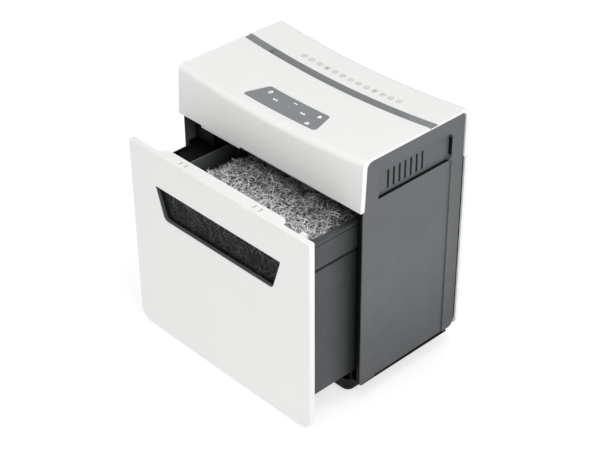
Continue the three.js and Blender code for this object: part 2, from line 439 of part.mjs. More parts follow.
put('interlock_switch', box(127, 139, 17, 33, 265.2, 272).subtract(box(131.2, 134.8, 15, 29, 266.4, 269.6)), M.dark);
const plunger = new THREE.Group();
root.add(plunger);
put('interlock_plunger', box(131.6, 134.4, 10, 25.5, 266.7, 269.3), M.panel, plunger);
put('bin_full_sensor', box(-8, 8, 148.2, 153, 265.1, 274).add(box(-3, 3, 149, 152.6, 273.9, 279)), M.dark);
{
  // lead from the inlet to the power board, clipped along the deck
  const path = new THREE.CatmullRomCurve3([
    new THREE.Vector3(-92, 157.1, 304), new THREE.Vector3(-92, 155.4, 303.9), new THREE.Vector3(-91.5, 153.2, 299), new THREE.Vector3(-86, 153.5, 284), new THREE.Vector3(-60, 156.5, 270.4), new THREE.Vector3(0, 157, 268.6),
    new THREE.Vector3(90, 157, 268.4), new THREE.Vector3(128, 150, 268.4), new THREE.Vector3(130, 120, 268.2), new THREE.Vector3(129, 70, 268.4), new THREE.Vector3(121, 52, 270), new THREE.Vector3(109, 44, 274)]);
  const s = outline(circlePts(2.6, 7));
  put('inlet_lead', new THREE.ExtrudeGeometry(s, { steps: 30, extrudePath: path, bevelEnabled: false }), M.lead);
}

// ---------------------------------------------------------------- drawer
const drawer = new THREE.Group();
root.add(drawer);
const DY = DRAWER_Y;
const winOutline = (g) => rounded([[-WIN_X0 - g, WIN_Z0 - g], [WIN_X0 + g, WIN_Z0 - g], [WIN_X1 + g, WIN_Z1 + g], [-WIN_X1 - g, WIN_Z1 + g]], [4 + g, 4 + g, 0.6, 0.6], 4);
const frontOutline = (g) => rounded(rect(-COVER_W / 2 + g, COVER_W / 2 - g, DRAWER_Z0 + g, DRAWER_Z1 - g), [17 - g, 17 - g, 2.2, 2.2], 5);
let front = P('y', frontOutline(0), DY, DY + FLANGE)
  .subtract(P('y', frontOutline(SKIN), DY + SKIN, DY + FLANGE + 1))
  .subtract(box(-148.5, 148.5, DY + SKIN, DY + 20, -5, 30))
  .add(P('z', rounded(rect(-GRIP_X, GRIP_X, DY + 2, DY + GRIP_D), [0, 0, 7, 7], 4), DRAWER_Z1 - 3, DRAWER_Z1))
  .add(box(-132, -129.5, DY + 2, DY + 7.6, 20, 268)).add(box(129.5, 132, DY + 2, DY + 7.6, 20, 268));
for (const x of [-69.7, -60.2, 59.1, 69.3]) front = front.subtract(box(x - 1, x + 1, DY + 6.4, DY + 11, DRAWER_Z1 - 2, DRAWER_Z1 + 2));
front = front.subtract(P('y', winOutline(0), DY - 5, DY + 20));
put('drawer_front', front, M.white, drawer);
put('window_frame', P('y', winOutline(2.2), DY + SKIN + GAP, DY + 9.4).subtract(P('y', winOutline(0), DY, DY + 20)), M.grey, drawer);
put('drawer_window', P('y', winOutline(6), DY + 9.7, DY + 11.5), M.window, drawer);

const BY0 = DY + BIN_YF, BY1 = BY0 + BIN_L;
let bin = P('z', rounded(rect(-144, 144, BY0, BY1), 8, 3), BIN_Z, BIN_SEAM - GAP)
  .subtract(P('z', rounded(rect(-141.5, 141.5, BY0 + 2.5, BY1 - 2.5), 6, 3), BIN_Z + 2.5, 300));
bin = bin.subtract(P('y', winOutline(3), BY0 - 5, BY0 + 5));
bin = bin.add(box(-134.6, -124, BY0 + 3, BY1 - 3, 36, BIN_Z + 1)).add(box(124, 134.6, BY0 + 3, BY1 - 3, 36, BIN_Z + 1)); // skids
for (const x of [-59, 59]) bin = bin.subtract(rod('y', 3.9, BY0 - 5, BY0 + 8, x, 175.4, 12));
put('bin', bin, M.bin, drawer);
// collar: raised hem on three sides, a low shelf on the left that passes under the gearbox
let collar = P('z', rounded(rect(-BIN_X, BIN_X, BY0, BY1), 8, 3), BIN_SEAM, BIN_TOP)
  .subtract(P('z', rounded(rect(-115.4, BIN_X - 7, BY0 + 7, BY1 - 7), 6, 3), BIN_SEAM - 5, 300))
  .subtract(box(-200, -112, BY0 - 5, BY1 + 5, 233, 300))
  .subtract(P('z', rounded(rect(-BIN_X + 2.5, -112, BY0 + 2.5, BY1 - 2.5), [6, 0, 0, 6], 3), 229.5, 300))
  .subtract(P('z', rounded(rect(-BIN_X + 2.5, -117.6, BY0 + 2.5, BY1 - 2.5), [6, 0, 0, 6], 3), BIN_SEAM - 5, 227))
  .add(box(-117.6, -115.4, BY0 + 7.2, BY1 - 7.2, 196, BIN_SEAM + 4))
  .subtract(P('y', winOutline(3), BY0 - 5, BY0 + 8));
put('bin_collar', collar, M.bin, drawer);
put('front_clip_left', rod('y', 3.6, BY0 - 1.2, BY0 + 5.5, -59, 175.4, 12), M.panel, drawer);
put('front_clip_right', rod('y', 3.6, BY0 - 1.2, BY0 + 5.5, 59, 175.4, 12), M.panel, drawer);
put('interlock_tab', box(129.2, 136.8, DY + 8.2, DY + 17.3, 262, 269).add(box(133, 136.8, DY + SKIN + GAP, DY + 8.4, 262, 269)), M.white, drawer);

export default root;
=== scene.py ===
import bpy
import bmesh
import json
import math
import random
import numpy as np
from mathutils import Matrix, Vector


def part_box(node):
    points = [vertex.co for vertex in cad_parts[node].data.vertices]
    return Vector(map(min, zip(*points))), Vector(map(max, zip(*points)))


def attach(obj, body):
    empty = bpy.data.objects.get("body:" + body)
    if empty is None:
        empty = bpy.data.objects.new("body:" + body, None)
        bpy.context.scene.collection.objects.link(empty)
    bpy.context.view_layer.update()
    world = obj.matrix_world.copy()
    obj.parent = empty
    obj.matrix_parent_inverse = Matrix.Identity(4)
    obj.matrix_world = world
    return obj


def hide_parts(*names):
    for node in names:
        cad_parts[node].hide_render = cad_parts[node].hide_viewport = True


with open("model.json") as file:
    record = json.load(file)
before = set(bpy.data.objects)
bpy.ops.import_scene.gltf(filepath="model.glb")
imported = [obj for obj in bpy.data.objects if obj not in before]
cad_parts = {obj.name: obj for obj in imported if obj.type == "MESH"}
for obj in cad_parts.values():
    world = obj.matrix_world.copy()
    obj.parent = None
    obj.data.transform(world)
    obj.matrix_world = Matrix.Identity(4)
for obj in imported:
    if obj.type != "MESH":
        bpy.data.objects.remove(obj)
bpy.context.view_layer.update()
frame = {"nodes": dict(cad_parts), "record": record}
NODES = frame["nodes"]

# ------------------------------------------------------------------ sizes, in mm
# Design frame: y = 0 is the front edge of the side panels. The row frame is
# ORIGIN_Y further back; the CAD nodes' boxes give it.
HALF_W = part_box("top_cover")[1].x * 1000          # 157.5
ORIGIN_Y = 175.5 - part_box("back_cover")[1].y * 1000
TOP_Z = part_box("top_cover")[1].z * 1000           # 342
COVER_Z = 275.5
BODY_W = 311.0
PANEL_T = 5.3
PANEL_IN = BODY_W / 2 - PANEL_T
PANEL_Z = 24.0
SAG = 9.3
FASCIA_Y0, FASCIA_Y1 = -5.6, -1.9
COVER_BACK_Y, BACK_Y = 174.3, 175.5
RIM_F, RIM_T, RIM_B = 6.6, 4.0, 6.0
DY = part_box("window_frame")[0].y * 1000 + ORIGIN_Y - 3.3   # front face of the drawer at rest
DZ0, DZ1 = 2.9, 272.3
SKIN, FLANGE = 3.0, 7.8
GRIP_X, GRIP_D = 107.0, 17.6
WZ0, WZ1, WX0, WX1 = 183.3, 225.4, 95.5, 109.5
THROAT_W = 226.0
SLOT_Y0, SLOT_Y1 = 105.3, 117.2
THROAT_Y0, THROAT_Y1 = 106.4, 111.4
CPY0, CPY1, CPX0, CPX1, CPR = 16.4, 51.8, 62.0, 50.5, 4.0
BIN_X, BIN_TOP, BIN_SEAM, BIN_Z = 146.4, 260.0, 223.3, 40.0
BY0 = DY + 13.2
BY1 = BY0 + 143.0
GAP = 0.3
random.seed(7)
RNG = np.random.default_rng(11)


def sag(x):
    return SAG * max(0.0, 1.0 - (x / HALF_W) ** 2)


def y_front(z):
    return FASCIA_Y0 + (FASCIA_Y1 - FASCIA_Y0) * (z - COVER_Z) / (TOP_Z - COVER_Z)


# ------------------------------------------------------------------ mesh kit
def rounded(points, radii, seg=6):
    """Outline with its corners rounded."""
    n = len(points)
    out = []
    for i in range(n):
        r = radii[i] if isinstance(radii, (list, tuple)) else radii
        p = Vector(points[i])
        if r <= 0:
            out.append((p.x, p.y))
            continue
        a = (Vector(points[i - 1]) - p).normalized()
        b = (Vector(points[(i + 1) % n]) - p).normalized()
        half = math.acos(max(-1, min(1, a.dot(b)))) / 2
        d = r / math.tan(half)
        c = p + (a + b).normalized() * (r / math.sin(half))
        s, e = p + a * d - c, p + b * d - c
        t0 = math.atan2(s.y, s.x)
        dt = math.atan2(e.y, e.x) - t0
        while dt > math.pi:
            dt -= 2 * math.pi
        while dt < -math.pi:
            dt += 2 * math.pi
        for k in range(seg + 1):
            t = t0 + dt * k / seg
            out.append((c.x + r * math.cos(t), c.y + r * math.sin(t)))
    return out


def rect(a0, a1, b0, b1):
    return [(a0, b0), (a1, b0), (a1, b1), (a0, b1)]


def circle(cx, cy, r, n=32):
    return [(cx + r * math.cos(2 * math.pi * i / n), cy + r * math.sin(2 * math.pi * i / n)) for i in range(n)]


def area(pts):
    return 0.5 * sum(pts[i - 1][0] * p[1] - p[0] * pts[i - 1][1] for i, p in enumerate(pts))


def inset(pts, d):
    """Closed outline moved inwards by d, corner by corner."""
    if d == 0:
        return list(pts)
    s = 1 if area(pts) > 0 else -1
    n = len(pts)
    out = []
    for i in range(n):
        p, a, b = Vector(pts[i]), Vector(pts[i - 1]), Vector(pts[(i + 1) % n])
        e1, e2 = (p - a), (b - p)
        if e1.length < 1e-6 or e2.length < 1e-6:
            out.append((p.x, p.y))
            continue
        e1.normalize()
        e2.normalize()
        n1, n2 = Vector((-e1.y, e1.x)) * s, Vector((-e2.y, e2.x)) * s
        m = n1 + n2
        k = m.dot(n1)
        m = m * (d / k) if abs(k) > 0.15 else n1 * d
        out.append((p.x + m.x, p.y + m.y))
    return out


def clean(pts, eps=1e-4):
    out = []
    for p in pts:
        if not out or (Vector(p) - Vector(out[-1])).length > eps:
            out.append(p)
    if (Vector(out[0]) - Vector(out[-1])).length < eps:
        out.pop()
    return out


AX = {"x": lambda t, u, v: (t, u, v), "y": lambda t, u, v: (u, t, v), "z": lambda t, u, v: (u, v, t)}


def mesh_of(verts, faces):
    me = bpy.data.meshes.new("m")
    me.from_pydata([tuple(v) for v in verts], [], faces)
    bm = bmesh.new()
    bm.from_mesh(me)
    bmesh.ops.remove_doubles(bm, verts=bm.verts, dist=1e-5)
    bmesh.ops.recalc_face_normals(bm, faces=bm.faces)
    bm.to_mesh(me)
    bm.free()
    o = bpy.data.objects.new("tmp", me)
    bpy.context.scene.collection.objects.link(o)
    return o


def loft(rings, closed=False):
    """Quads between rings of equal count, with flat caps unless it closes on itself."""
    n = len(rings[0])
    verts = [p for r in rings for p in r]
    faces = []
    m = len(rings)
    for i in range(m if closed else m - 1):
        a, b = i * n, ((i + 1) % m) * n
        for j in range(n):
            k = (j + 1) % n
            faces.append((a + j, a + k, b + k, b + j))
    if not closed:
        faces.append(tuple(range(n))[::-1])
        faces.append(tuple(range((m - 1) * n, m * n)))
    return mesh_of(verts, faces)


def edge_steps(a, b, r0, r1, seg, inner):
    """(place, inset) pairs from a to b, with both ends rounded over."""
    out = []
    if r0 > 0:
        for k in range(seg):
            t = math.pi / 2 * k / seg
            out.append((a + r0 * (1 - math.sin(t)) if False else a + r0 - r0 * math.cos(math.pi / 2 - t) if False else a + r0 * (1 - math.cos(t)), r0 * (1 - math.sin(t))))
    else:
        out.append((a, 0.0))
    lo, hi = a + r0, b - r1
    for k in range(inner + 1):
        p = lo + (hi - lo) * k / max(1, inner)
        if not out or abs(out[-1][0] - p) > 1e-6:
            out.append((p, 0.0))
        if inner == 0:
            break
    if inner == 0 and abs(out[-1][0] - hi) > 1e-6:
        out.append((hi, 0.0))
    if r1 > 0:
        for k in range(seg - 1, -1, -1):
            t = math.pi / 2 * k / seg
            out.append((b - r1 * (1 - math.cos(t)), r1 * (1 - math.sin(t))))
    return out


def prism(axis, pts, a, b, r=0.0, seg=3, inner=0, warp=None, r1=None):
    """Prism of an outline from a to b on an axis; r rounds its end edges; warp moves each point."""
    pts = clean(pts)
    rings = []
    for t, ins in edge_steps(a, b, r, r if r1 is None else r1, seg, inner):
        ring = [AX[axis](t, u, v) for u, v in inset(pts, ins)]
        if warp:
            ring = [warp(p) for p in ring]
        rings.append(ring)
    return loft(rings)


def sink(p, above=-1e9):
    return (p[0], p[1], p[2] - sag(p[0])) if p[2] > above else p


def top_slab(x0, x1, y0, y1, deep, high, steps=48):
    return prism("x", rect(y0, y1, TOP_Z - deep, TOP_Z - high), x0, x1, inner=steps, warp=sink)


def block(x0, x1, y0, y1, z0, z1):
    return prism("z", rect(x0, x1, y0, y1), z0, z1)


def rod(axis, r, a, b, u, v, n=32, edge=0.0):
    return prism(axis, circle(u, v, r, n), a, b, r=edge, seg=2)


def lathe_x(profile, y, z, n=48):
    rings = []
    for i in range(n):
        t = 2 * math.pi * i / n
        rings.append([(x, y + r * math.cos(t), z + r * math.sin(t)) for x, r in profile])
    m = len(profile)
    verts = [p for r in rings for p in r]
    faces = []
    for i in range(n):
        a, b = i * m, ((i + 1) % n) * m
        for j in range(m - 1):
            faces.append((a + j, a + j + 1, b + j + 1, b + j))
    o = mesh_of(verts, faces)
    bm = bmesh.new()
    bm.from_mesh(o.data)
    bmesh.ops.dissolve_degenerate(bm, dist=1e-6, edges=bm.edges)
    bmesh.ops.recalc_face_normals(bm, faces=bm.faces)
    bm.to_mesh(o.data)
    bm.free()
    return o


def boolean(a, op, *others):
    for b in others:
        m = a.modifiers.new("b", "BOOLEAN")
        m.operation = op
        m.object = b
        m.solver = "EXACT"
        dg = bpy.context.evaluated_depsgraph_get()
        me = bpy.data.meshes.new_from_object(a.evaluated_get(dg))
        a.modifiers.clear()
        old = a.data
        a.data = me
        bpy.data.meshes.remove(old)
        bpy.data.objects.remove(b)
    return a


def cut(a, *others):
    return boolean(a, "DIFFERENCE", *others)


def join(a, *others):
    return boolean(a, "UNION", *others)


def common(a, *others):
    return boolean(a, "INTERSECT", *others)


def finish_mesh(o, name, body, mat, replaces=(), bevel=0.0, seg=2, smooth=35, dissolve=None, weighted=True, limit=32):
    """Puts a piece made in design millimetres into the row frame, shades it and hangs it on its body."""
    me = o.data
    me.transform(Matrix.Diagonal((0.001, 0.001, 0.001, 1)) @ Matrix.Translation((0, -ORIGIN_Y, 0)))
    if dissolve is not None:
        bm = bmesh.new()
        bm.from_mesh(me)
        bmesh.ops.remove_doubles(bm, verts=bm.verts, dist=1e-6)
        bmesh.ops.dissolve_limit(bm, angle_limit=math.radians(dissolve), verts=bm.verts, edges=bm.edges)
        bm.to_mesh(me)
        bm.free()
    o.name = name
    me.name = name
    me.materials.clear()
    me.materials.append(mat)
    me.polygons.foreach_set("material_index", [0] * len(me.polygons))
    me.polygons.foreach_set("use_smooth", [True] * len(me.polygons))
    if bevel > 0:
        b = o.modifiers.new("edge", "BEVEL")
        b.width = bevel * 0.001
        b.segments = seg
        b.limit_method = "ANGLE"
        b.angle_limit = math.radians(limit)
        b.use_clamp_overlap = True
        b.harden_normals = False
        b.miter_outer = "MITER_ARC"
    me.set_sharp_from_angle(angle=math.radians(smooth))
    if weighted:
        w = o.modifiers.new("normals", "WEIGHTED_NORMAL")
        w.keep_sharp = True
        w.weight = 60
    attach(o, body)
    if replaces:
        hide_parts(*replaces)
    return o


# ------------------------------------------------------------------ materials
def nodes_of(name):
    m = bpy.data.materials.new(name)
    m.use_nodes = True
    nt = m.node_tree
    bsdf = nt.nodes["Principled BSDF"]
    return m, nt, bsdf


def link(nt, a, ao, b, bi):
    nt.links.new(a.outputs[ao], b.inputs[bi])


def ramp(nt, pts):
    r = nt.nodes.new("ShaderNodeValToRGB")
    e = r.color_ramp.elements
    while len(e) < len(pts):
        e.new(0.5)
    for i, (p, c) in enumerate(pts):
        e[i].position = p
        e[i].color = (*c, 1) if len(c) == 3 else c
    return r


def noise(nt, coord, scale, detail=3, rough=0.55, dist=0.0):
    n = nt.nodes.new("ShaderNodeTexNoise")
    n.inputs["Scale"].default_value = scale
    n.inputs["Detail"].default_value = detail
    n.inputs["Roughness"].default_value = rough
    n.inputs["Distortion"].default_value = dist
    nt.links.new(coord.outputs["Object"], n.inputs["Vector"])
    return n


def scaled(c, k):
    return tuple(min(1, x * k) for x in c)


def moulded(name, color, rough=(0.38, 0.5), grain=2600, bump=0.06, var=0.05, spec=0.5, metallic=0.0, broad=14, painted_shade=None):
    """Injection-moulded plastic: slight flow mottling, a fine spark-eroded grain and uneven gloss."""
    m, nt, b = nodes_of(name)
    tc = nt.nodes.new("ShaderNodeTexCoord")
    big = noise(nt, tc, broad, 4, 0.6)
    speck = noise(nt, tc, grain * 0.35, 2, 0.5)
    mix = nt.nodes.new("ShaderNodeMix")
    mix.data_type = "FLOAT"
    mix.inputs["Factor"].default_value = 0.35
    nt.links.new(big.outputs["Fac"], mix.inputs[2])
    nt.links.new(speck.outputs["Fac"], mix.inputs[3])
    cr = ramp(nt, [(0.3, scaled(color, 1 - var)), (0.52, color), (0.74, scaled(color, 1 + var))])
    nt.links.new(mix.outputs[0], cr.inputs["Fac"])
    if painted_shade:
        axis, lo_, hi_, k_lo, k_hi = painted_shade      # painted shade: the colour is darkened along one axis of the part, to stand for deep shadow
        sx = nt.nodes.new("ShaderNodeSeparateXYZ")
        nt.links.new(tc.outputs["Object"], sx.inputs[0])
        mr = nt.nodes.new("ShaderNodeMapRange")
        mr.interpolation_type = "SMOOTHSTEP"
        mr.inputs["From Min"].default_value = lo_
        mr.inputs["From Max"].default_value = hi_
        mr.inputs["To Min"].default_value = k_lo
        mr.inputs["To Max"].default_value = k_hi
        nt.links.new(sx.outputs[axis], mr.inputs["Value"])
        mv = nt.nodes.new("ShaderNodeVectorMath")
        mv.operation = "SCALE"
        nt.links.new(cr.outputs["Color"], mv.inputs[0])
        nt.links.new(mr.outputs["Result"], mv.inputs["Scale"])
        nt.links.new(mv.outputs["Vector"], b.inputs["Base Color"])
    else:
        nt.links.new(cr.outputs["Color"], b.inputs["Base Color"])
    gl = noise(nt, tc, broad * 3.1, 3, 0.6)
    rr = nt.nodes.new("ShaderNodeMapRange")
    rr.inputs["From Min"].default_value = 0.3
    rr.inputs["From Max"].default_value = 0.7
    rr.inputs["To Min"].default_value = rough[0]
    rr.inputs["To Max"].default_value = rough[1]
    nt.links.new(gl.outputs["Fac"], rr.inputs["Value"])
    nt.links.new(rr.outputs["Result"], b.inputs["Roughness"])
    fine = noise(nt, tc, grain, 2, 0.6)
    vor = nt.nodes.new("ShaderNodeTexVoronoi")
    vor.inputs["Scale"].default_value = grain * 0.55
    nt.links.new(tc.outputs["Object"], vor.inputs["Vector"])
    add = nt.nodes.new("ShaderNodeMath")
    add.operation = "ADD"
    nt.links.new(fine.outputs["Fac"], add.inputs[0])
    nt.links.new(vor.outputs["Distance"], add.inputs[1])
    bp = nt.nodes.new("ShaderNodeBump")
    bp.inputs["Strength"].default_value = bump
    bp.inputs["Distance"].default_value = 0.00012
    nt.links.new(add.outputs["Value"], bp.inputs["Height"])
    nt.links.new(bp.outputs["Normal"], b.inputs["Normal"])
    b.inputs["Specular IOR Level"].default_value = spec
    b.inputs["Metallic"].default_value = metallic
    return m


def metal(name, color, rough=(0.25, 0.42), along="X", stretch=40, bump=0.08):
    """Plated or ground steel: fine marks along one axis, patchy gloss."""
    m, nt, b = nodes_of(name)
    tc = nt.nodes.new("ShaderNodeTexCoord")
    mp = nt.nodes.new("ShaderNodeMapping")
    s = {"X": (60, 2400, 2400), "Y": (2400, 60, 2400), "Z": (2400, 2400, 60)}[along]
    mp.inputs["Scale"].default_value = s
    nt.links.new(tc.outputs["Object"], mp.inputs["Vector"])
    n = nt.nodes.new("ShaderNodeTexNoise")
    n.inputs["Scale"].default_value = 1.0
    n.inputs["Detail"].default_value = 3
    nt.links.new(mp.outputs["Vector"], n.inputs["Vector"])
    big = noise(nt, tc, 45, 4, 0.6)
    cr = ramp(nt, [(0.3, scaled(color, 0.86)), (0.55, color), (0.8, scaled(color, 1.08))])
    nt.links.new(big.outputs["Fac"], cr.inputs["Fac"])
    nt.links.new(cr.outputs["Color"], b.inputs["Base Color"])
    rr = nt.nodes.new("ShaderNodeMapRange")
    rr.inputs["To Min"].default_value = rough[0]
    rr.inputs["To Max"].default_value = rough[1]
    nt.links.new(n.outputs["Fac"], rr.inputs["Value"])
    nt.links.new(rr.outputs["Result"], b.inputs["Roughness"])
    bp = nt.nodes.new("ShaderNodeBump")
    bp.inputs["Strength"].default_value = bump
    bp.inputs["Distance"].default_value = 0.0001
    nt.links.new(n.outputs["Fac"], bp.inputs["Height"])
    nt.links.new(bp.outputs["Normal"], b.inputs["Normal"])
    b.inputs["Metallic"].default_value = 1.0
    return m


def rgb(r, g, b):
    """sRGB 0-255 to linear."""
    f = lambda c: (c / 255 / 12.92) if c / 255 <= 0.04045 else ((c / 255 + 0.055) / 1.055) ** 2.4
    return (f(r), f(g), f(b))


MAT = {
    "white_shell": moulded("white_shell", rgb(236, 236, 234), (0.34, 0.46), 2600, 0.05, 0.012, spec=0.45),
    # grey_shell: painted shade, colour darkened toward the bottom of each part
    "grey_shell": moulded("grey_shell", rgb(91, 94, 96), (0.42, 0.55), 2200, 0.12, 0.045, spec=0.35, painted_shade=("Z", 0.02, 0.17, 0.64, 1.0)),
    "panel_grey": moulded("panel_grey", rgb(128, 132, 135), (0.3, 0.42), 2800, 0.05, 0.03),
    "black_plastic": moulded("black_plastic", rgb(12, 13, 14), (0.5, 0.66), 2000, 0.14, 0.16, spec=0.16),
    # bin_plastic: painted shade, colour darkened toward the rear of the bin, near the housing
    "bin_plastic": moulded("bin_plastic", rgb(66, 70, 72), (0.4, 0.55), 2000, 0.12, 0.06, spec=0.3, painted_shade=("Y", -0.095, -0.050, 1.0, 0.25)),
    "foot_rubber": moulded("foot_rubber", rgb(34, 34, 34), (0.7, 0.85), 1600, 0.25, 0.14, spec=0.2),
    "gear_nylon": moulded("gear_nylon", rgb(226, 220, 202), (0.4, 0.55), 1800, 0.08, 0.05),
    "lead_sheath": moulded("lead_sheath", rgb(36, 36, 38), (0.5, 0.65), 1600, 0.12, 0.12),
    "plate_steel": metal("plate_steel", (0.55, 0.56, 0.57), (0.28, 0.45), "Z"),
    "hard_steel": metal("hard_steel", (0.33, 0.33, 0.34), (0.3, 0.5), "Y", bump=0.12),
    "screw_steel": metal("screw_steel", (0.40, 0.40, 0.41), (0.28, 0.42), "X"),
    "sintered_bronze": metal("sintered_bronze", (0.55, 0.40, 0.20), (0.42, 0.6), "Y"),
    "motor_can": metal("motor_can", (0.50, 0.51, 0.52), (0.24, 0.4), "X"),
}


def board_material():
    """Green solder mask with copper tracks showing through as slightly lighter lines."""
    m, nt, b = nodes_of("circuit_board")
    tc = nt.nodes.new("ShaderNodeTexCoord")
    br = nt.nodes.new("ShaderNodeTexBrick")
    br.inputs["Scale"].default_value = 120
    br.inputs["Color1"].default_value = (0.02, 0.12, 0.05, 1)
    br.inputs["Color2"].default_value = (0.03, 0.16, 0.07, 1)
    br.inputs["Mortar"].default_value = (0.06, 0.24, 0.12, 1)
    br.inputs["Mortar Size"].default_value = 0.05
    nt.links.new(tc.outputs["Object"], br.inputs["Vector"])
    nt.links.new(br.outputs["Color"], b.inputs["Base Color"])
    n = noise(nt, tc, 300, 2)
    rr = nt.nodes.new("ShaderNodeMapRange")
    rr.inputs["To Min"].default_value = 0.25
    rr.inputs["To Max"].default_value = 0.5
    nt.links.new(n.outputs["Fac"], rr.inputs["Value"])
    nt.links.new(rr.outputs["Result"], b.inputs["Roughness"])
    bp = nt.nodes.new("ShaderNodeBump")
    bp.inputs["Strength"].default_value = 0.2
    bp.inputs["Distance"].default_value = 0.0001
    nt.links.new(br.outputs["Fac"], bp.inputs["Height"])
    nt.links.new(bp.outputs["Normal"], b.inputs["Normal"])
    return m


MAT["circuit_board"] = board_material()
# painted light: a lighter copy of the bin plastic, without its painted shade, for the inner wall of the band
BIN_PLASTIC_LIT = moulded("bin_plastic_lit", rgb(104, 108, 110), (0.4, 0.55), 2000, 0.12, 0.06, spec=0.3)


def window_material():
    """Smoked clear plastic with faint wipe marks."""
    m, nt, b = nodes_of("tinted_window")
    tc = nt.nodes.new("ShaderNodeTexCoord")
    n = noise(nt, tc, 40, 4, 0.6)
    cr = ramp(nt, [(0.3, (0.008, 0.010, 0.012)), (0.7, (0.016, 0.018, 0.021))])
    nt.links.new(n.outputs["Fac"], cr.inputs["Fac"])
    nt.links.new(cr.outputs["Color"], b.inputs["Base Color"])
    rr = nt.nodes.new("ShaderNodeMapRange")
    rr.inputs["To Min"].default_value = 0.03
    rr.inputs["To Max"].default_value = 0.10
    nt.links.new(n.outputs["Fac"], rr.inputs["Value"])
    nt.links.new(rr.outputs["Result"], b.inputs["Roughness"])
    f = noise(nt, tc, 600, 2)
    bp = nt.nodes.new("ShaderNodeBump")
    bp.inputs["Strength"].default_value = 0.02
    bp.inputs["Distance"].default_value = 0.0001
    nt.links.new(f.outputs["Fac"], bp.inputs["Height"])
    nt.links.new(bp.outputs["Normal"], b.inputs["Normal"])
    b.inputs["Alpha"].default_value = 0.36
    b.inputs["Specular IOR Level"].default_value = 0.10
    return m


MAT["tinted_window"] = window_material()


def print_material(name, color, rough=0.5, glow=0.0):
    """Pad-printed ink: thin, slightly uneven film."""
    m, nt, b = nodes_of(name)
    tc = nt.nodes.new("ShaderNodeTexCoord")
    n = noise(nt, tc, 900, 3)
    cr = ramp(nt, [(0.3, scaled(color, 0.9)), (0.7, color)])
    nt.links.new(n.outputs["Fac"], cr.inputs["Fac"])
    nt.links.new(cr.outputs["Color"], b.inputs["Base Color"])
    rr = nt.nodes.new("ShaderNodeMapRange")
    rr.inputs["To Min"].default_value = rough - 0.08
    rr.inputs["To Max"].default_value = rough + 0.08
    nt.links.new(n.outputs["Fac"], rr.inputs["Value"])
    nt.links.new(rr.outputs["Result"], b.inputs["Roughness"])
    if glow:
        b.inputs["Emission Color"].default_value = (*color, 1)
        b.inputs["Emission Strength"].default_value = glow
    return m


INK_GREY = print_material("ink_grey", rgb(112, 113, 112))
INK_WHITE = print_material("ink_white", rgb(245, 246, 246), glow=0.25)
INK_FAINT = print_material("ink_faint", rgb(150, 154, 157))


def paper_material():
    """Cut office paper: white with printed grey pieces, fibre bump; the tone attribute also carries painted shade,
    darkest in the bed, deep in the bin and behind the window.
    """
    m, nt, b = nodes_of("shredded_paper")
    tc = nt.nodes.new("ShaderNodeTexCoord")
    at = nt.nodes.new("ShaderNodeAttribute")
    at.attribute_name = "tone"
    n = noise(nt, tc, 700, 3)
    cr = ramp(nt, [(0.0, (0.05, 0.05, 0.055)), (0.12, (0.32, 0.32, 0.33)), (0.35, (0.66, 0.665, 0.67)), (1.0, (0.86, 0.86, 0.855))])
    nt.links.new(at.outputs["Fac"], cr.inputs["Fac"])
    sh = ramp(nt, [(0.35, (0.86, 0.86, 0.87)), (0.65, (1, 1, 1))])
    nt.links.new(n.outputs["Fac"], sh.inputs["Fac"])
    mul = nt.nodes.new("ShaderNodeMix")
    mul.data_type = "RGBA"
    mul.blend_type = "MULTIPLY"
    mul.inputs["Factor"].default_value = 1.0
    nt.links.new(cr.outputs["Color"], mul.inputs[6])
    nt.links.new(sh.outputs["Color"], mul.inputs[7])
    nt.links.new(mul.outputs[2], b.inputs["Base Color"])
    rr = nt.nodes.new("ShaderNodeMapRange")
    rr.inputs["To Min"].default_value = 0.75
    rr.inputs["To Max"].default_value = 0.95
    nt.links.new(n.outputs["Fac"], rr.inputs["Value"])
    nt.links.new(rr.outputs["Result"], b.inputs["Roughness"])
    bp = nt.nodes.new("ShaderNodeBump")
    bp.inputs["Strength"].default_value = 0.3
    bp.inputs["Distance"].default_value = 0.0001
    nt.links.new(n.outputs["Fac"], bp.inputs["Height"])
    nt.links.new(bp.outputs["Normal"], b.inputs["Normal"])
    b.inputs["Specular IOR Level"].default_value = 0.2
    return m


PAPER = paper_material()

# ------------------------------------------------------------------ carried-over CAD nodes
SLOT_OF = {s["node"]: s["material_slot"] for s in frame["record"]["subparts"]}
for n, o in NODES.items():
    o.data.materials.clear()
    o.data.materials.append(MAT[SLOT_OF[n]])


def refine(n, width=0.35, angle=30):
    """Rounds the edges of a CAD node that is shown as it is."""
    o = NODES[n]
    d = o.modifiers.new("flats", "DECIMATE")
    d.decimate_type = "DISSOLVE"
    d.angle_limit = math.radians(1.0)
    if width:
        b = o.modifiers.new("edge", "BEVEL")
        b.width = width * 0.001
        b.segments = 2
        b.limit_method = "ANGLE"
        b.angle_limit = math.radians(angle)
    o.data.polygons.foreach_set("use_smooth", [True] * len(o.data.polygons))
    o.data.set_sharp_from_angle(angle=math.radians(angle))
    w = o.modifiers.new("normals", "WEIGHTED_NORMAL")
    w.keep_sharp = True


REPLACED = {"top_cover", "control_panel", "slot_insert", "side_panel_right", "side_panel_left", "back_cover",
            "drawer_front", "window_frame", "drawer_window", "bin", "bin_collar"}
for n in NODES:
    if n in REPLACED:
        continue
    tiny = n.startswith(("cutter_shaft", "timing", "drive", "reduction", "motor_shaft"))
    refine(n, 0.12 if tiny else 0.3)

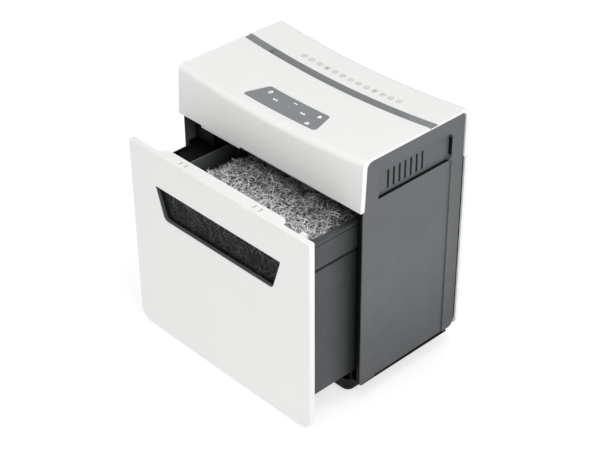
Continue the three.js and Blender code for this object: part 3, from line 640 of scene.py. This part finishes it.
# ------------------------------------------------------------------ top cover
profile = rounded([
    (FASCIA_Y0, COVER_Z), (FASCIA_Y1, TOP_Z),
    (SLOT_Y0 - GAP, TOP_Z), (SLOT_Y0 - GAP, TOP_Z - 2.3), (SLOT_Y1 + GAP, TOP_Z - 2.3), (SLOT_Y1 + GAP, TOP_Z),
    (COVER_BACK_Y, TOP_Z), (COVER_BACK_Y, COVER_Z + 0.8), (COVER_BACK_Y - RIM_B, COVER_Z + 0.8),
    (COVER_BACK_Y - RIM_B, TOP_Z - RIM_T), (y_front(TOP_Z - RIM_T) + RIM_F, TOP_Z - RIM_T), (FASCIA_Y0 + RIM_F, COVER_Z)],
    [1.1, 7.5, 1.0, 0.2, 0.2, 1.0, 9, 1.0, 1.0, 7.5, 8, 1.0], 8)


def cover_warp(p):
    return sink(p, 320)


cover = prism("x", profile, -HALF_W, HALF_W, r=0.8, seg=4, inner=72, warp=cover_warp)


def cp_outline(grow, seg=10):
    return rounded([(-CPX0 - grow, CPY0 - grow), (CPX0 + grow, CPY0 - grow), (CPX1 + grow, CPY1 + grow), (-CPX1 - grow, CPY1 + grow)], CPR + grow, seg)


cover = cut(cover,
            common(top_slab(-90, 90, 5, 70, 1.2, -6), prism("z", cp_outline(GAP), 300, 360)),
            block(-40, 40, 24, 44, 300, 360),
            block(-THROAT_W / 2 - 3, THROAT_W / 2 + 3, SLOT_Y0 - GAP, SLOT_Y1 + GAP, 320, 345),
            prism("y", rounded(rect(-115, -87, 296, 317), 2, 6), 160, 180),
            prism("y", rounded(rect(-76, -52, 297, 316), 2, 6), 160, 180))
finish_mesh(cover, "top_cover_shell", "housing", MAT["white_shell"], ["top_cover"], smooth=40)

# touch panel
cp = common(top_slab(-90, 90, 5, 70, 0.9, 0.2), prism("z", cp_outline(0), 300, 360))
finish_mesh(cp, "touch_panel", "housing", MAT["panel_grey"], ["control_panel"], bevel=0.22, seg=2, limit=50)

# slot strip with its funnel
strip_section = [
    (SLOT_Y0, TOP_Z - 2), (SLOT_Y1, TOP_Z - 2), (SLOT_Y1, TOP_Z - 0.5), (SLOT_Y1 - 0.9, TOP_Z - 0.5),
    (THROAT_Y1 + 0.8, TOP_Z - 1.5), (THROAT_Y0 - 0.4, TOP_Z - 1.6), (THROAT_Y0 - 0.6, TOP_Z - 0.5), (SLOT_Y0, TOP_Z - 0.5)]
strip = prism("x", strip_section, -HALF_W + 0.4, HALF_W - 0.4, inner=72, warp=sink)
strip = join(strip, prism("x", [(SLOT_Y0, TOP_Z - 12), (THROAT_Y1 + 2.2, TOP_Z - 12), (SLOT_Y1, TOP_Z - 3), (SLOT_Y1, TOP_Z - 0.7), (SLOT_Y0, TOP_Z - 0.7)],
                          -THROAT_W / 2 - 2.6, THROAT_W / 2 + 2.6, inner=48, warp=sink))
strip = cut(strip, prism("x", [(THROAT_Y0, TOP_Z - 14), (THROAT_Y1, TOP_Z - 14), (THROAT_Y1, TOP_Z - 5), (SLOT_Y1 - 1, TOP_Z - 0.9), (SLOT_Y1 - 1, TOP_Z + 1), (THROAT_Y0, TOP_Z + 1)],
                         -THROAT_W / 2, THROAT_W / 2, inner=48, warp=sink))
finish_mesh(strip, "slot_strip", "housing", MAT["panel_grey"], ["slot_insert"], bevel=0.18, seg=2, limit=40)


# printed marks that follow the sagging top
def mark(name, polys, z_off, mat, body="housing", thick=0.07):
    verts, faces = [], []
    for poly in polys:
        k = len(verts)
        n = len(poly)
        for x, y in poly:
            verts.append((x, y, TOP_Z - z_off - sag(x) - 0.05))
        for x, y in poly:
            verts.append((x, y, TOP_Z - z_off - sag(x) + thick))
        faces.append(tuple(range(k, k + n))[::-1])
        faces.append(tuple(range(k + n, k + 2 * n)))
        for i in range(n):
            j = (i + 1) % n
            faces.append((k + i, k + j, k + n + j, k + n + i))
    o = mesh_of(verts, faces)
    return finish_mesh(o, name, body, mat, weighted=False, smooth=30)


def ring_polys(cx, cy, r0, r1, n=28, a0=0.0, a1=360.0):
    """An arc or full ring as small quads."""
    out = []
    for i in range(n):
        t0 = math.radians(a0 + (a1 - a0) * i / n)
        t1 = math.radians(a0 + (a1 - a0) * (i + 1) / n)
        out.append([(cx + r0 * math.cos(t0), cy + r0 * math.sin(t0)), (cx + r1 * math.cos(t0), cy + r1 * math.sin(t0)),
                    (cx + r1 * math.cos(t1), cy + r1 * math.sin(t1)), (cx + r0 * math.cos(t1), cy + r0 * math.sin(t1))])
    return out


def bar(cx, cy, w, h, rot=0.0):
    c, s = math.cos(math.radians(rot)), math.sin(math.radians(rot))
    return [(cx + u * c - v * s, cy + u * s + v * c) for u, v in ((-w / 2, -h / 2), (w / 2, -h / 2), (w / 2, h / 2), (-w / 2, h / 2))]


def tri(cx, cy, s, d):
    return [(cx - d * s * 0.5, cy - s * 0.62), (cx + d * s * 0.62, cy), (cx - d * s * 0.5, cy + s * 0.62)]


rings = []
for i in range(13):
    cx = -76 + i * (160 / 12)
    cy = 132.0
    rings += ring_polys(cx, cy, 3.2, 3.8)
    k = i % 6
    if k == 0:
        rings += [bar(cx, cy, 2.6, 0.5, 45), bar(cx, cy, 2.6, 0.5, -45)]
    elif k == 1:
        rings += [bar(cx, cy + 0.8, 2.8, 0.5), bar(cx, cy - 0.8, 2.8, 0.5)]
    elif k == 2:
        rings += ring_polys(cx, cy, 0.9, 1.35, 14)
    elif k == 3:
        rings += [bar(cx, cy, 2.6, 3.0)]
    elif k == 4:
        rings += [bar(cx, cy, 0.55, 3.4), bar(cx, cy, 2.6, 0.55)]
    else:
        rings += [tri(cx, cy, 2.2, 1), bar(cx, cy, 5.6, 0.4, 45)]
mark("top_pictograms", rings, -0.0, INK_GREY, thick=0.05)

white_icons = [tri(-25.9, 34.4, 3.3, -1), tri(-21.9, 34.4, 3.3, -1), tri(20.5, 35, 3.3, 1), tri(24.5, 35, 3.3, 1),
               bar(-0.2, 45.2, 6.2, 1.3)]
# bin with a lid, a sheet with a folded corner, a drawer: plain generic signs
white_icons += [bar(-40.4, 44.6, 5.4, 0.8), bar(-40.4, 45.5, 2.0, 0.7), bar(-42.3, 42.0, 0.8, 4.4), bar(-38.5, 42.0, 0.8, 4.4), bar(-40.4, 42.0, 0.8, 3.6), bar(-40.4, 40.0, 4.6, 0.8)]
white_icons += [[(40.2, 40.4), (43.6, 40.4), (43.6, 44.6), (42.4, 46.0), (40.2, 46.0)], bar(44.6, 42.4, 0.8, 3.2)]
white_icons += [bar(42.1, 22.2, 5.4, 3.2), bar(42.1, 24.9, 3.4, 1.2)]
mark("panel_icons", white_icons, 0.2, INK_WHITE, thick=0.06)
faint = ring_polys(-1.6, 35.3, 2.5, 3.1, 24, 115, 425) + [bar(-1.6, 38.0, 0.7, 2.6)]
faint += [bar(-40, 22.1, 3.2, 0.7), bar(-40, 23.8, 0.7, 2.6), bar(-40, 20.4, 0.7, 1.6)]
mark("panel_icons_unlit", faint, 0.2, INK_FAINT, thick=0.06)

# ------------------------------------------------------------------ side panels
def side_panel(s):
    def px(a, b):
        return (a, b) if s > 0 else (-b, -a)

    def slab(a, b, pts, r=0.0):
        lo, hi = px(a, b)
        return prism("x", pts, lo, hi, r=r if s < 0 else 0.0, r1=r if s > 0 else 0.0, seg=4)

    top_in = TOP_Z - RIM_T - sag(PANEL_IN) - GAP
    edge = rounded([
        (COVER_BACK_Y - RIM_B - GAP, PANEL_Z + 2), (COVER_BACK_Y - RIM_B - GAP, top_in),
        (y_front(top_in) + RIM_F + GAP, top_in), (FASCIA_Y0 + RIM_F + GAP + 0.1, COVER_Z), (0.6, COVER_Z - 0.4), (0.6, PANEL_Z)],
        [10, 8.3, 8.6, 0, 0, 1.2], 10)
    p = slab(PANEL_IN, BODY_W / 2, edge, 0.7)
    p = join(p, slab(PANEL_IN - 1.9, PANEL_IN + 0.5, rounded(rect(21, 150, 277, 322), 5, 6)))
    p = cut(p, slab(BODY_W / 2 - 1.5, BODY_W / 2 + 1, rounded(rect(25.3, 147.3, 10, 280.6), [0, 0, 1, 1], 4)),
            slab(BODY_W / 2 - 3.0, BODY_W / 2 + 1, rect(25.3, 26.4, 10, 280)),
            slab(BODY_W / 2 - 5, BODY_W / 2 + 1, rounded(rect(24.5, 147.3, 280.2, 317.8), [0.8, 7, 7, 7], 8)))
    for i in range(7):
        y = 44.8 + i * 9.42
        p = cut(p, slab(PANEL_IN - 4, BODY_W / 2, rounded(rect(y - 1.75, y + 1.75, 285.6, 310.4), 1.6, 5)))
    side = "right" if s > 0 else "left"
    finish_mesh(p, f"side_shell_{side}", "housing", MAT["grey_shell"], [f"side_panel_{side}"], bevel=0.35, seg=3, dissolve=0.3, limit=40)


side_panel(1)
side_panel(-1)

# black sheets on the inner walls of the drawer bay, painted shade standing for the shadow there, and the lip under the
# front of the cover
for s, side in ((1, "right"), (-1, "left")):
    a, b = sorted((s * (PANEL_IN - 0.75), s * (PANEL_IN - 0.15)))
    w = prism("x", rounded(rect(2.2, 163, 28.5, 236.5), 1.5, 3), a, b)
    finish_mesh(w, f"bay_shade_sheet_{side}", "housing", MAT["black_plastic"], bevel=0.08, seg=1, dissolve=0.25, limit=40)
lip = block(-115, -45, -5.2, -2.1, 272.75, 275.45)
for s, side in ((1, "right"), (-1, "left")):
    # painted shade: black strips stand for the shadow at the front edge, along the foot, in the rear gap, behind the
    # vent slots and in the vent recess of each side panel
    def sb(a, b, *r):
        return block(*sorted((s * a, s * b)), *r)
    g = join(sb(150.0, 154.1, 0.16, 0.62, 24, 272.4), sb(139.5, 155.0, 3.0, 156.0, 22.0, 24.02), sb(150.4, 155.1, 168.32, 169.95, 36, 275.2),
             sb(PANEL_IN - 2.4, PANEL_IN + 0.06, 38, 108, 283, 314),
             sb(BODY_W / 2 - 4.9, BODY_W / 2 - 1.45, 26.0, 143.5, 280.18, 281.1), sb(BODY_W / 2 - 4.9, BODY_W / 2 - 0.3, 146.3, 147.28, 288, 310.5))
    finish_mesh(g, f"shade_strips_{side}", "housing", MAT["black_plastic"], bevel=0.06, seg=1, dissolve=0.25, limit=40)
finish_mesh(lip, "cover_lip_left", "housing", MAT["white_shell"], bevel=0.25, seg=2, dissolve=0.25, limit=40)
lip = block(-41, 115, -5.0, -2.1, 274.4, 275.45)
finish_mesh(lip, "cover_lip_right", "housing", MAT["panel_grey"], bevel=0.2, seg=2, dissolve=0.25, limit=40)

# ------------------------------------------------------------------ back cover
SCREWS = [(-138, 44), (138, 44), (-138, 256), (138, 256)]
back = prism("y", rounded(rect(-HALF_W, HALF_W, PANEL_Z + 2.5, COVER_Z), [9, 9, 1, 1], 8), 170, BACK_Y, r=0.0, r1=1.2, seg=4)
back = cut(back, block(-HALF_W + 5, HALF_W - 5, 160, 172.5, PANEL_Z + 14, COVER_Z - 6))
for x, z in SCREWS:
    back = join(back, rod("y", 7, 170, 173.5, x, z, 40))
    back = cut(back, rod("y", 4.2, 173, 180, x, z, 40), rod("y", 2, 160, 180, x, z, 24))
for i in range(6):
    z = 216 + i * 5.2
    back = cut(back, prism("y", rounded(rect(-62, 62, z, z + 2.6), 1.25, 4), 160, 180))
finish_mesh(back, "rear_shell", "housing", MAT["white_shell"], ["back_cover"], bevel=0.3, seg=2, dissolve=0.3, limit=40)

# ------------------------------------------------------------------ drawer front
def front_outline(g):
    return rounded(rect(-HALF_W + g, HALF_W - g, DZ0 + g, DZ1 - g), [17 - g, 17 - g, max(0.4, 2.2 - g), max(0.4, 2.2 - g)], 12)


def win_outline(g, seg=8):
    return rounded([(-WX0 - g, WZ0 - g), (WX0 + g, WZ0 - g), (WX1 + g, WZ1 + g), (-WX1 - g, WZ1 + g)], [7 + g, 7 + g, 0.6, 0.6], seg)


front = prism("y", front_outline(0), DY, DY + FLANGE, r=1.3, r1=0.4, seg=5)
front = cut(front, prism("y", front_outline(SKIN), DY + SKIN, DY + FLANGE + 1),
            block(-148.5, 148.5, DY + SKIN, DY + 20, -5, 30))
RAISE = 0.45
brow = [(-WX1 - 0.5, WZ1 - 3.0), (WX1 + 0.5, WZ1 - 3.0), (122.0, DZ1), (-122.0, DZ1)]
front = join(front,
             prism("z", rounded(rect(-GRIP_X, GRIP_X, DY + 2, DY + GRIP_D), [0, 0, 9.5, 9.5], 12), DZ1 - 3, DZ1, r=0.6, seg=3),
             prism("y", brow, DY - RAISE, DY + 2.0, r=0.12, r1=0.0, seg=2),
             block(-132, -129.5, DY + 2, DY + 7.6, 20, 268), block(129.5, 132, DY + 2, DY + 7.6, 20, 268))
front = cut(front, prism("y", win_outline(1.0), DY - 5, DY + 20))
for x in (-69.7, -60.2, 59.1, 69.3):
    front = cut(front, block(x - 1.1, x + 1.1, DY + 5.4, DY + 12.2, DZ1 - 5, DZ1 + 2))
finish_mesh(front, "drawer_front_shell", "drawer", MAT["white_shell"], ["drawer_front"], bevel=0.25, seg=2, dissolve=0.25, limit=50)

wf = join(prism("y", win_outline(2.2), DY + SKIN + GAP, DY + 4.9), prism("y", win_outline(0.92), DY + 0.3, DY + SKIN + GAP + 0.5))
wf = cut(wf, prism("y", win_outline(0.0), DY - 5, DY + 20))
finish_mesh(wf, "window_surround", "drawer", MAT["grey_shell"], ["window_frame"], bevel=0.2, seg=2, dissolve=0.25, limit=40)
pane = prism("y", win_outline(6), DY + 5.0, DY + 6.5, r=0.3, seg=2)
for x, side in ((59, "right"), (-59, "left")):      # open rings of the two clips that hold the front on the bin
    ring = cut(rod("y", 4.6, BY0 - 1.7, BY0 - 0.1, x, 183.8, 32), rod("y", 3.3, BY0 - 3, BY0 + 1, x, 183.8, 32), block(x - 5, x - 0.5, BY0 - 3, BY0 + 1, 181, 183.8))
    finish_mesh(ring, f"clip_ring_{side}", "drawer", MAT["panel_grey"], bevel=0.15, seg=2, limit=40)
finish_mesh(pane, "window_pane", "drawer", MAT["tinted_window"], ["drawer_window"])

# ------------------------------------------------------------------ bin and its collar
bin_ = prism("z", rounded(rect(-144, 144, BY0, BY1), 8, 8), BIN_Z, BIN_SEAM - GAP, r=1.5, r1=0.0, seg=4)
bin_ = cut(bin_, prism("z", rounded(rect(-141.5, 141.5, BY0 + 2.5, BY1 - 2.5), 6, 8), BIN_Z + 2.5, 300),
           prism("y", win_outline(3), BY0 - 5, BY0 + 5))
bin_ = join(bin_, block(-134.6, -124, BY0 + 3, BY1 - 3, 36, BIN_Z + 1), block(124, 134.6, BY0 + 3, BY1 - 3, 36, BIN_Z + 1))
for x in (-59, 59):
    bin_ = cut(bin_, rod("y", 3.9, BY0 - 5, BY0 + 8, x, 175.4, 32))
finish_mesh(bin_, "waste_bin", "drawer", MAT["bin_plastic"], ["bin"], bevel=0.35, seg=2, dissolve=0.25, limit=40)

collar = prism("z", rounded(rect(-BIN_X, BIN_X, BY0, BY1), 8, 8), BIN_SEAM, BIN_TOP, r=0.5, r1=1.4, seg=4)
collar = cut(collar,
             prism("z", rounded(rect(-115.4, BIN_X - 7, BY0 + 7, BY1 - 7), 6, 8), BIN_SEAM - 5, 300),
             block(-200, -112, BY0 - 5, BY1 + 5, 233, 300),
             prism("z", rounded(rect(-BIN_X + 2.5, -112, BY0 + 2.5, BY1 - 2.5), [6, 0, 0, 6], 8), 229.5, 300),
             prism("z", rounded(rect(-BIN_X + 2.5, -117.6, BY0 + 2.5, BY1 - 2.5), [6, 0, 0, 6], 8), BIN_SEAM - 5, 230))
collar = join(collar, block(-117.6, -115.4, BY0 + 7.2, BY1 - 7.2, 196, BIN_SEAM + 4))
collar = cut(collar, prism("y", win_outline(3), BY0 - 5, BY0 + 8))
for s in (-1, 1):      # a fine groove under the lip of the band
    collar = cut(collar, block(*sorted((s * (BIN_X - 0.7), s * 160)), BY0 + 6, BY1 - 6, 253.6, 254.8))
left_band = bpy.data.objects.new("left_band", collar.data.copy())
bpy.context.scene.collection.objects.link(left_band)
left_band = common(left_band, block(-200, -117.65, -200, 200, 100, 300))
inner = bpy.data.objects.new("inner_wall", collar.data.copy())
bpy.context.scene.collection.objects.link(inner)
inner = common(inner, block(-117.65, -113.0, -200, 200, 100, 300))
collar = cut(collar, block(-200, -113.0, -200, 200, 100, 300))
finish_mesh(inner, "bin_hem_inner_wall", "drawer", BIN_PLASTIC_LIT, bevel=0.3, seg=2, dissolve=0.25, limit=40)
finish_mesh(left_band, "bin_hem_left", "drawer", MAT["black_plastic"], bevel=0.5, seg=3, dissolve=0.25, limit=40)
finish_mesh(collar, "bin_hem", "drawer", MAT["bin_plastic"], ["bin_collar"], bevel=0.5, seg=3, dissolve=0.25, limit=40)
# painted shade: a black ring between the bin and its band stands for the shadow under the band's lip
seam_shade = cut(prism("z", rounded(rect(-144.5, 144.5, BY0 - 0.2, BY1 + 0.5), 8.3, 8), BIN_SEAM - 5.6, BIN_SEAM - 0.3, r=0.3, r1=0.3, seg=2),
           prism("z", rounded(rect(-143.6, 143.6, BY0 + 0.4, BY1 - 0.4), 7.6, 8), 200, 240), prism("y", win_outline(3), BY0 - 5, BY0 + 5))
finish_mesh(seam_shade, "bin_seam_shade", "drawer", MAT["black_plastic"], dissolve=0.25)
# the black tray under the gear box pocket, let into the band on the left
shelf = prism("z", rounded(rect(-BIN_X + 2.6, -117.7, BY0 + 2.6, BY1 - 2.6), [5.9, 0, 0, 5.9], 8), 227, 229.5, r=0.3, r1=0.3, seg=2)
finish_mesh(shelf, "hem_tray", "drawer", MAT["black_plastic"], bevel=0.2, seg=2, dissolve=0.25, limit=40)

# ------------------------------------------------------------------ shredded paper in the bin
HX0, HX1 = -113.6, 137.6
HY0, HY1 = BY0 + 9.0, BY1 - 9.0


def smooth01(t):
    t = np.clip(t, 0, 1)
    return t * t * (3 - 2 * t)


def heap(x, y):
    """Height of the paper: low at the left under the gear box, high at the right."""
    h = 205 + 46 * smooth01((x + 116) / 78)
    h = h - 7 * smooth01((y - (BY0 + 62)) / 70)
    h = h - 9 * smooth01((x - 112) / 24) - 3.0 * smooth01((BY0 + 26 - y) / 18) * smooth01((x + 20) / 60)
    h = h + 2.6 * np.sin(x * 0.071 + 1.1) * np.cos(y * 0.083) + 1.3 * np.sin(x * 0.19 + y * 0.13)
    return h


def paper_bed():
    nx, ny = 84, 44
    xs = np.linspace(HX0 + 1.5, HX1 - 1.5, nx)
    ys = np.linspace(HY0 + 1.5, HY1 - 1.5, ny)
    verts, faces = [], []
    for y in ys:
        for x in xs:
            e = min(1.0, min(x - HX0, HX1 - x, y - HY0 + 4, HY1 - y) / 6.0)
            verts.append((x, y, float(heap(x, y)) - 4.2 + 1.6 * (RNG.random() - 0.5) - 2.0 * (1 - e)))
    for j in range(ny - 1):
        for i in range(nx - 1):
            a = j * nx + i
            faces.append((a, a + 1, a + nx + 1, a + nx))
    rim = [i for i in range(nx)] + [j * nx + nx - 1 for j in range(1, ny)] + [(ny - 1) * nx + i for i in range(nx - 2, -1, -1)] + [j * nx for j in range(ny - 2, 0, -1)]
    base = len(verts)
    for r in rim:
        x, y, _ = verts[r]
        verts.append((x, y, BIN_Z + 6))
    n = len(rim)
    for i in range(n):
        j = (i + 1) % n
        faces.append((rim[i], base + i, base + j, rim[j]))
    faces.append(tuple(base + i for i in range(n))[::-1])
    o = mesh_of(verts, faces)
    # painted shade: the bed takes the darkest tone, standing for the deep shadow in the gaps between the slips
    a = o.data.attributes.new("tone", "FLOAT", "POINT")
    a.data.foreach_set("value", np.full(len(o.data.vertices), 0.0, np.float32))
    return finish_mesh(o, "shreds_bed", "drawer", PAPER, weighted=False, smooth=80)


def strips(name, centres, normals, lengths, widths, tones, box):
    """Thin curled slips of paper lying about each centre, roughly across each normal."""
    n = len(centres)
    k = 5
    rnd = RNG.normal(size=(n, 3))
    nn = normals / np.linalg.norm(normals, axis=1, keepdims=True)
    d = rnd - nn * np.sum(rnd * nn, 1, keepdims=True)
    d /= np.linalg.norm(d, axis=1, keepdims=True)
    tilt = RNG.normal(0, 0.30, size=(n, 1))
    d = d + nn * tilt
    d /= np.linalg.norm(d, axis=1, keepdims=True)
    side = np.cross(nn, d)
    side /= np.linalg.norm(side, axis=1, keepdims=True)
    up = np.cross(d, side)
    roll = RNG.normal(0, 0.55, size=(n, 1))
    curl = RNG.normal(0, 1, size=(n, 1)) * 0.06 + 0.02
    curl2 = RNG.normal(0, 1, size=(n, 1)) * 0.035
    twist = RNG.normal(0, 0.5, size=(n, 1))
    rows = []
    for i in range(k):
        t = i / (k - 1) - 0.5
        c = centres + d * (t * lengths[:, None]) + up * ((0.25 - t * t) * lengths[:, None] * curl * 4) + side * (t * t * lengths[:, None] * curl2 * 4)
        a = roll + twist * t
        w = side * np.cos(a) + up * np.sin(a)
        rows.append((c - w * widths[:, None] / 2, c + w * widths[:, None] / 2))
    verts = np.stack([p for r in rows for p in r], axis=1)           # n, 2k, 3
    lo, hi = np.array(box[0]), np.array(box[1])
    verts = np.clip(verts, lo, hi)
    verts = verts.reshape(-1, 3)
    faces = []
    for i in range(n):
        b = i * 2 * k
        for j in range(k - 1):
            faces.append((b + 2 * j, b + 2 * j + 1, b + 2 * j + 3, b + 2 * j + 2))
    me = bpy.data.meshes.new(name)
    me.from_pydata(verts.tolist(), [], faces)
    o = bpy.data.objects.new(name, me)
    bpy.context.scene.collection.objects.link(o)
    a = me.attributes.new("tone", "FLOAT", "POINT")
    a.data.foreach_set("value", np.repeat(tones, 2 * k).astype(np.float32))
    finish_mesh(o, name, "drawer", PAPER, weighted=False, smooth=80)
    s = o.modifiers.new("paper", "SOLIDIFY")
    s.thickness = 0.00012
    s.offset = 0
    return o


def tones(n):
    t = np.clip(RNG.normal(0.66, 0.30, n), 0.06, 1)
    dark = RNG.random(n) < 0.14
    t[dark] = RNG.random(dark.sum()) * 0.15
    return t


def deep(x, y):
    """Painted shade on the paper: darker toward the cutters and under the gear box."""
    k = 1.14 - 0.88 * smooth01((y - (BY0 + 8)) / 50)
    return k * (1 - 0.72 * (1 - smooth01((x + 118) / 70)))


paper_bed()
N_TOP = 4600
cx = RNG.uniform(HX0 + 3, HX1 - 3, N_TOP)
cy = RNG.uniform(HY0 + 1, HY1 - 3, N_TOP)
layer = RNG.random(N_TOP) ** 0.8
cz = heap(cx, cy) - 4.5 + 5.2 * layer
e = 1.5
nx_ = -(heap(cx + e, cy) - heap(cx - e, cy)) / (2 * e)
ny_ = -(heap(cx, cy + e) - heap(cx, cy - e)) / (2 * e)
norm = np.stack([nx_, ny_, np.ones(N_TOP)], 1)
strips("shreds_top", np.stack([cx, cy, cz], 1), norm, RNG.uniform(9, 17, N_TOP), RNG.uniform(0.9, 1.5, N_TOP), tones(N_TOP) * deep(cx, cy),
       ((HX0, HY0 - 1.2, 150), (HX1, HY1, BIN_TOP + 0.6)))
N_UP = 2700
ux = HX0 + 4 + (HX1 - HX0 - 8) * RNG.random(N_UP) ** 0.85
uy = HY0 + 1 + (HY1 - HY0 - 4) * RNG.random(N_UP) ** 1.5
uz = heap(ux, uy) + 0.2 + 2.6 * RNG.random(N_UP)
strips("shreds_upper", np.stack([ux, uy, uz], 1), np.tile(np.array([[0.0, 0.0, 1.0]]), (N_UP, 1)), RNG.uniform(9, 18, N_UP), RNG.uniform(0.8, 1.3, N_UP),
       tones(N_UP) * deep(ux, uy), ((HX0, HY0 - 1.2, 150), (HX1, HY1, BIN_TOP - 0.6)))
N_WIN = 620
cx = RNG.uniform(-112, 112, N_WIN)
cz = RNG.uniform(176, 229, N_WIN)
cy = BY0 + 5.0 + 5.5 * RNG.random(N_WIN)
keep = cz < heap(cx, np.full(N_WIN, BY0 + 9.0)) + 2
cx, cy, cz = cx[keep], cy[keep], cz[keep]
n = len(cx)
# painted shade: the slips seen through the window have their tone scaled by 0.42 for the shade inside the closed bin
strips("shreds_window", np.stack([cx, cy, cz], 1), np.tile(np.array([[0, -1.0, 0.15]]), (n, 1)), RNG.uniform(9, 16, n), RNG.uniform(0.9, 1.4, n), tones(n) * 0.42,
       ((-114, BY0 + 2.9, 160), (114, BY0 + 14, 232)))

# ------------------------------------------------------------------ floor, light, camera
def floor():
    m, nt, b = nodes_of("studio_floor")
    tc = nt.nodes.new("ShaderNodeTexCoord")
    n = noise(nt, tc, 3, 2)
    cr = ramp(nt, [(0.3, (0.53, 0.53, 0.53)), (0.7, (0.55, 0.55, 0.55))])
    nt.links.new(n.outputs["Fac"], cr.inputs["Fac"])
    nt.links.new(cr.outputs["Color"], b.inputs["Base Color"])
    b.inputs["Roughness"].default_value = 0.9
    b.inputs["Specular IOR Level"].default_value = 0.1
    b.inputs["Emission Color"].default_value = (1, 1, 1, 1)
    b.inputs["Emission Strength"].default_value = 0.62
    me = bpy.data.meshes.new("floor")
    s = 14.0
    me.from_pydata([(-s, -s, -0.0004), (s, -s, -0.0004), (s, s, -0.0004), (-s, s, -0.0004)], [], [(0, 1, 2, 3)])
    o = bpy.data.objects.new("floor", me)
    bpy.context.scene.collection.objects.link(o)
    me.materials.append(m)


floor()

sc = bpy.context.scene
sc.view_settings.view_transform = "Standard"
sc.view_settings.look = "None"
world = bpy.data.worlds.new("studio")
sc.world = world
world.use_nodes = True
bg = world.node_tree.nodes["Background"]
bg.inputs["Color"].default_value = (1, 1, 1, 1)
bg.inputs["Strength"].default_value = 0.53


def area_light(name, loc, target, size, energy, size_y=None):
    l = bpy.data.lights.new(name, "AREA")
    l.energy = energy
    l.size = size
    if size_y:
        l.shape = "RECTANGLE"
        l.size_y = size_y
    o = bpy.data.objects.new(name, l)
    o.location = loc
    o.rotation_euler = (Vector(target) - Vector(loc)).to_track_quat("-Z", "Y").to_euler()
    sc.collection.objects.link(o)
    return o


area_light("key_top", (0.1, -0.2, 2.0), (0, 0, 0.2), 1.8, 14.4, 1.8)
area_light("front_left", (-1.3, -1.8, 1.2), (0, 0, 0.2), 1.2, 2.4)
area_light("right_high", (0.95, -0.25, 0.85), (0.157, 0.02, 0.30), 0.5, 4.2)

cam = bpy.data.cameras.new("camera")
cam.sensor_width = 36.0
cam.lens = 91.510
cam.clip_start = 0.05
cam.clip_end = 60
co = bpy.data.objects.new("camera", cam)
right = Vector((0.68967128, 0.724094, -0.00643463))
down = Vector((0.40410041, -0.3922332, -0.826351))
fwd = Vector((-0.60087968, 0.56731031, -0.56311866))
m = Matrix.Identity(4)
for i in range(3):
    m[i][0], m[i][1], m[i][2] = right[i], -down[i], -fwd[i]
m[0][3], m[1][3], m[2][3] = 1.13290, -1.06482, 1.22029
co.matrix_world = m
sc.collection.objects.link(co)
sc.camera = co
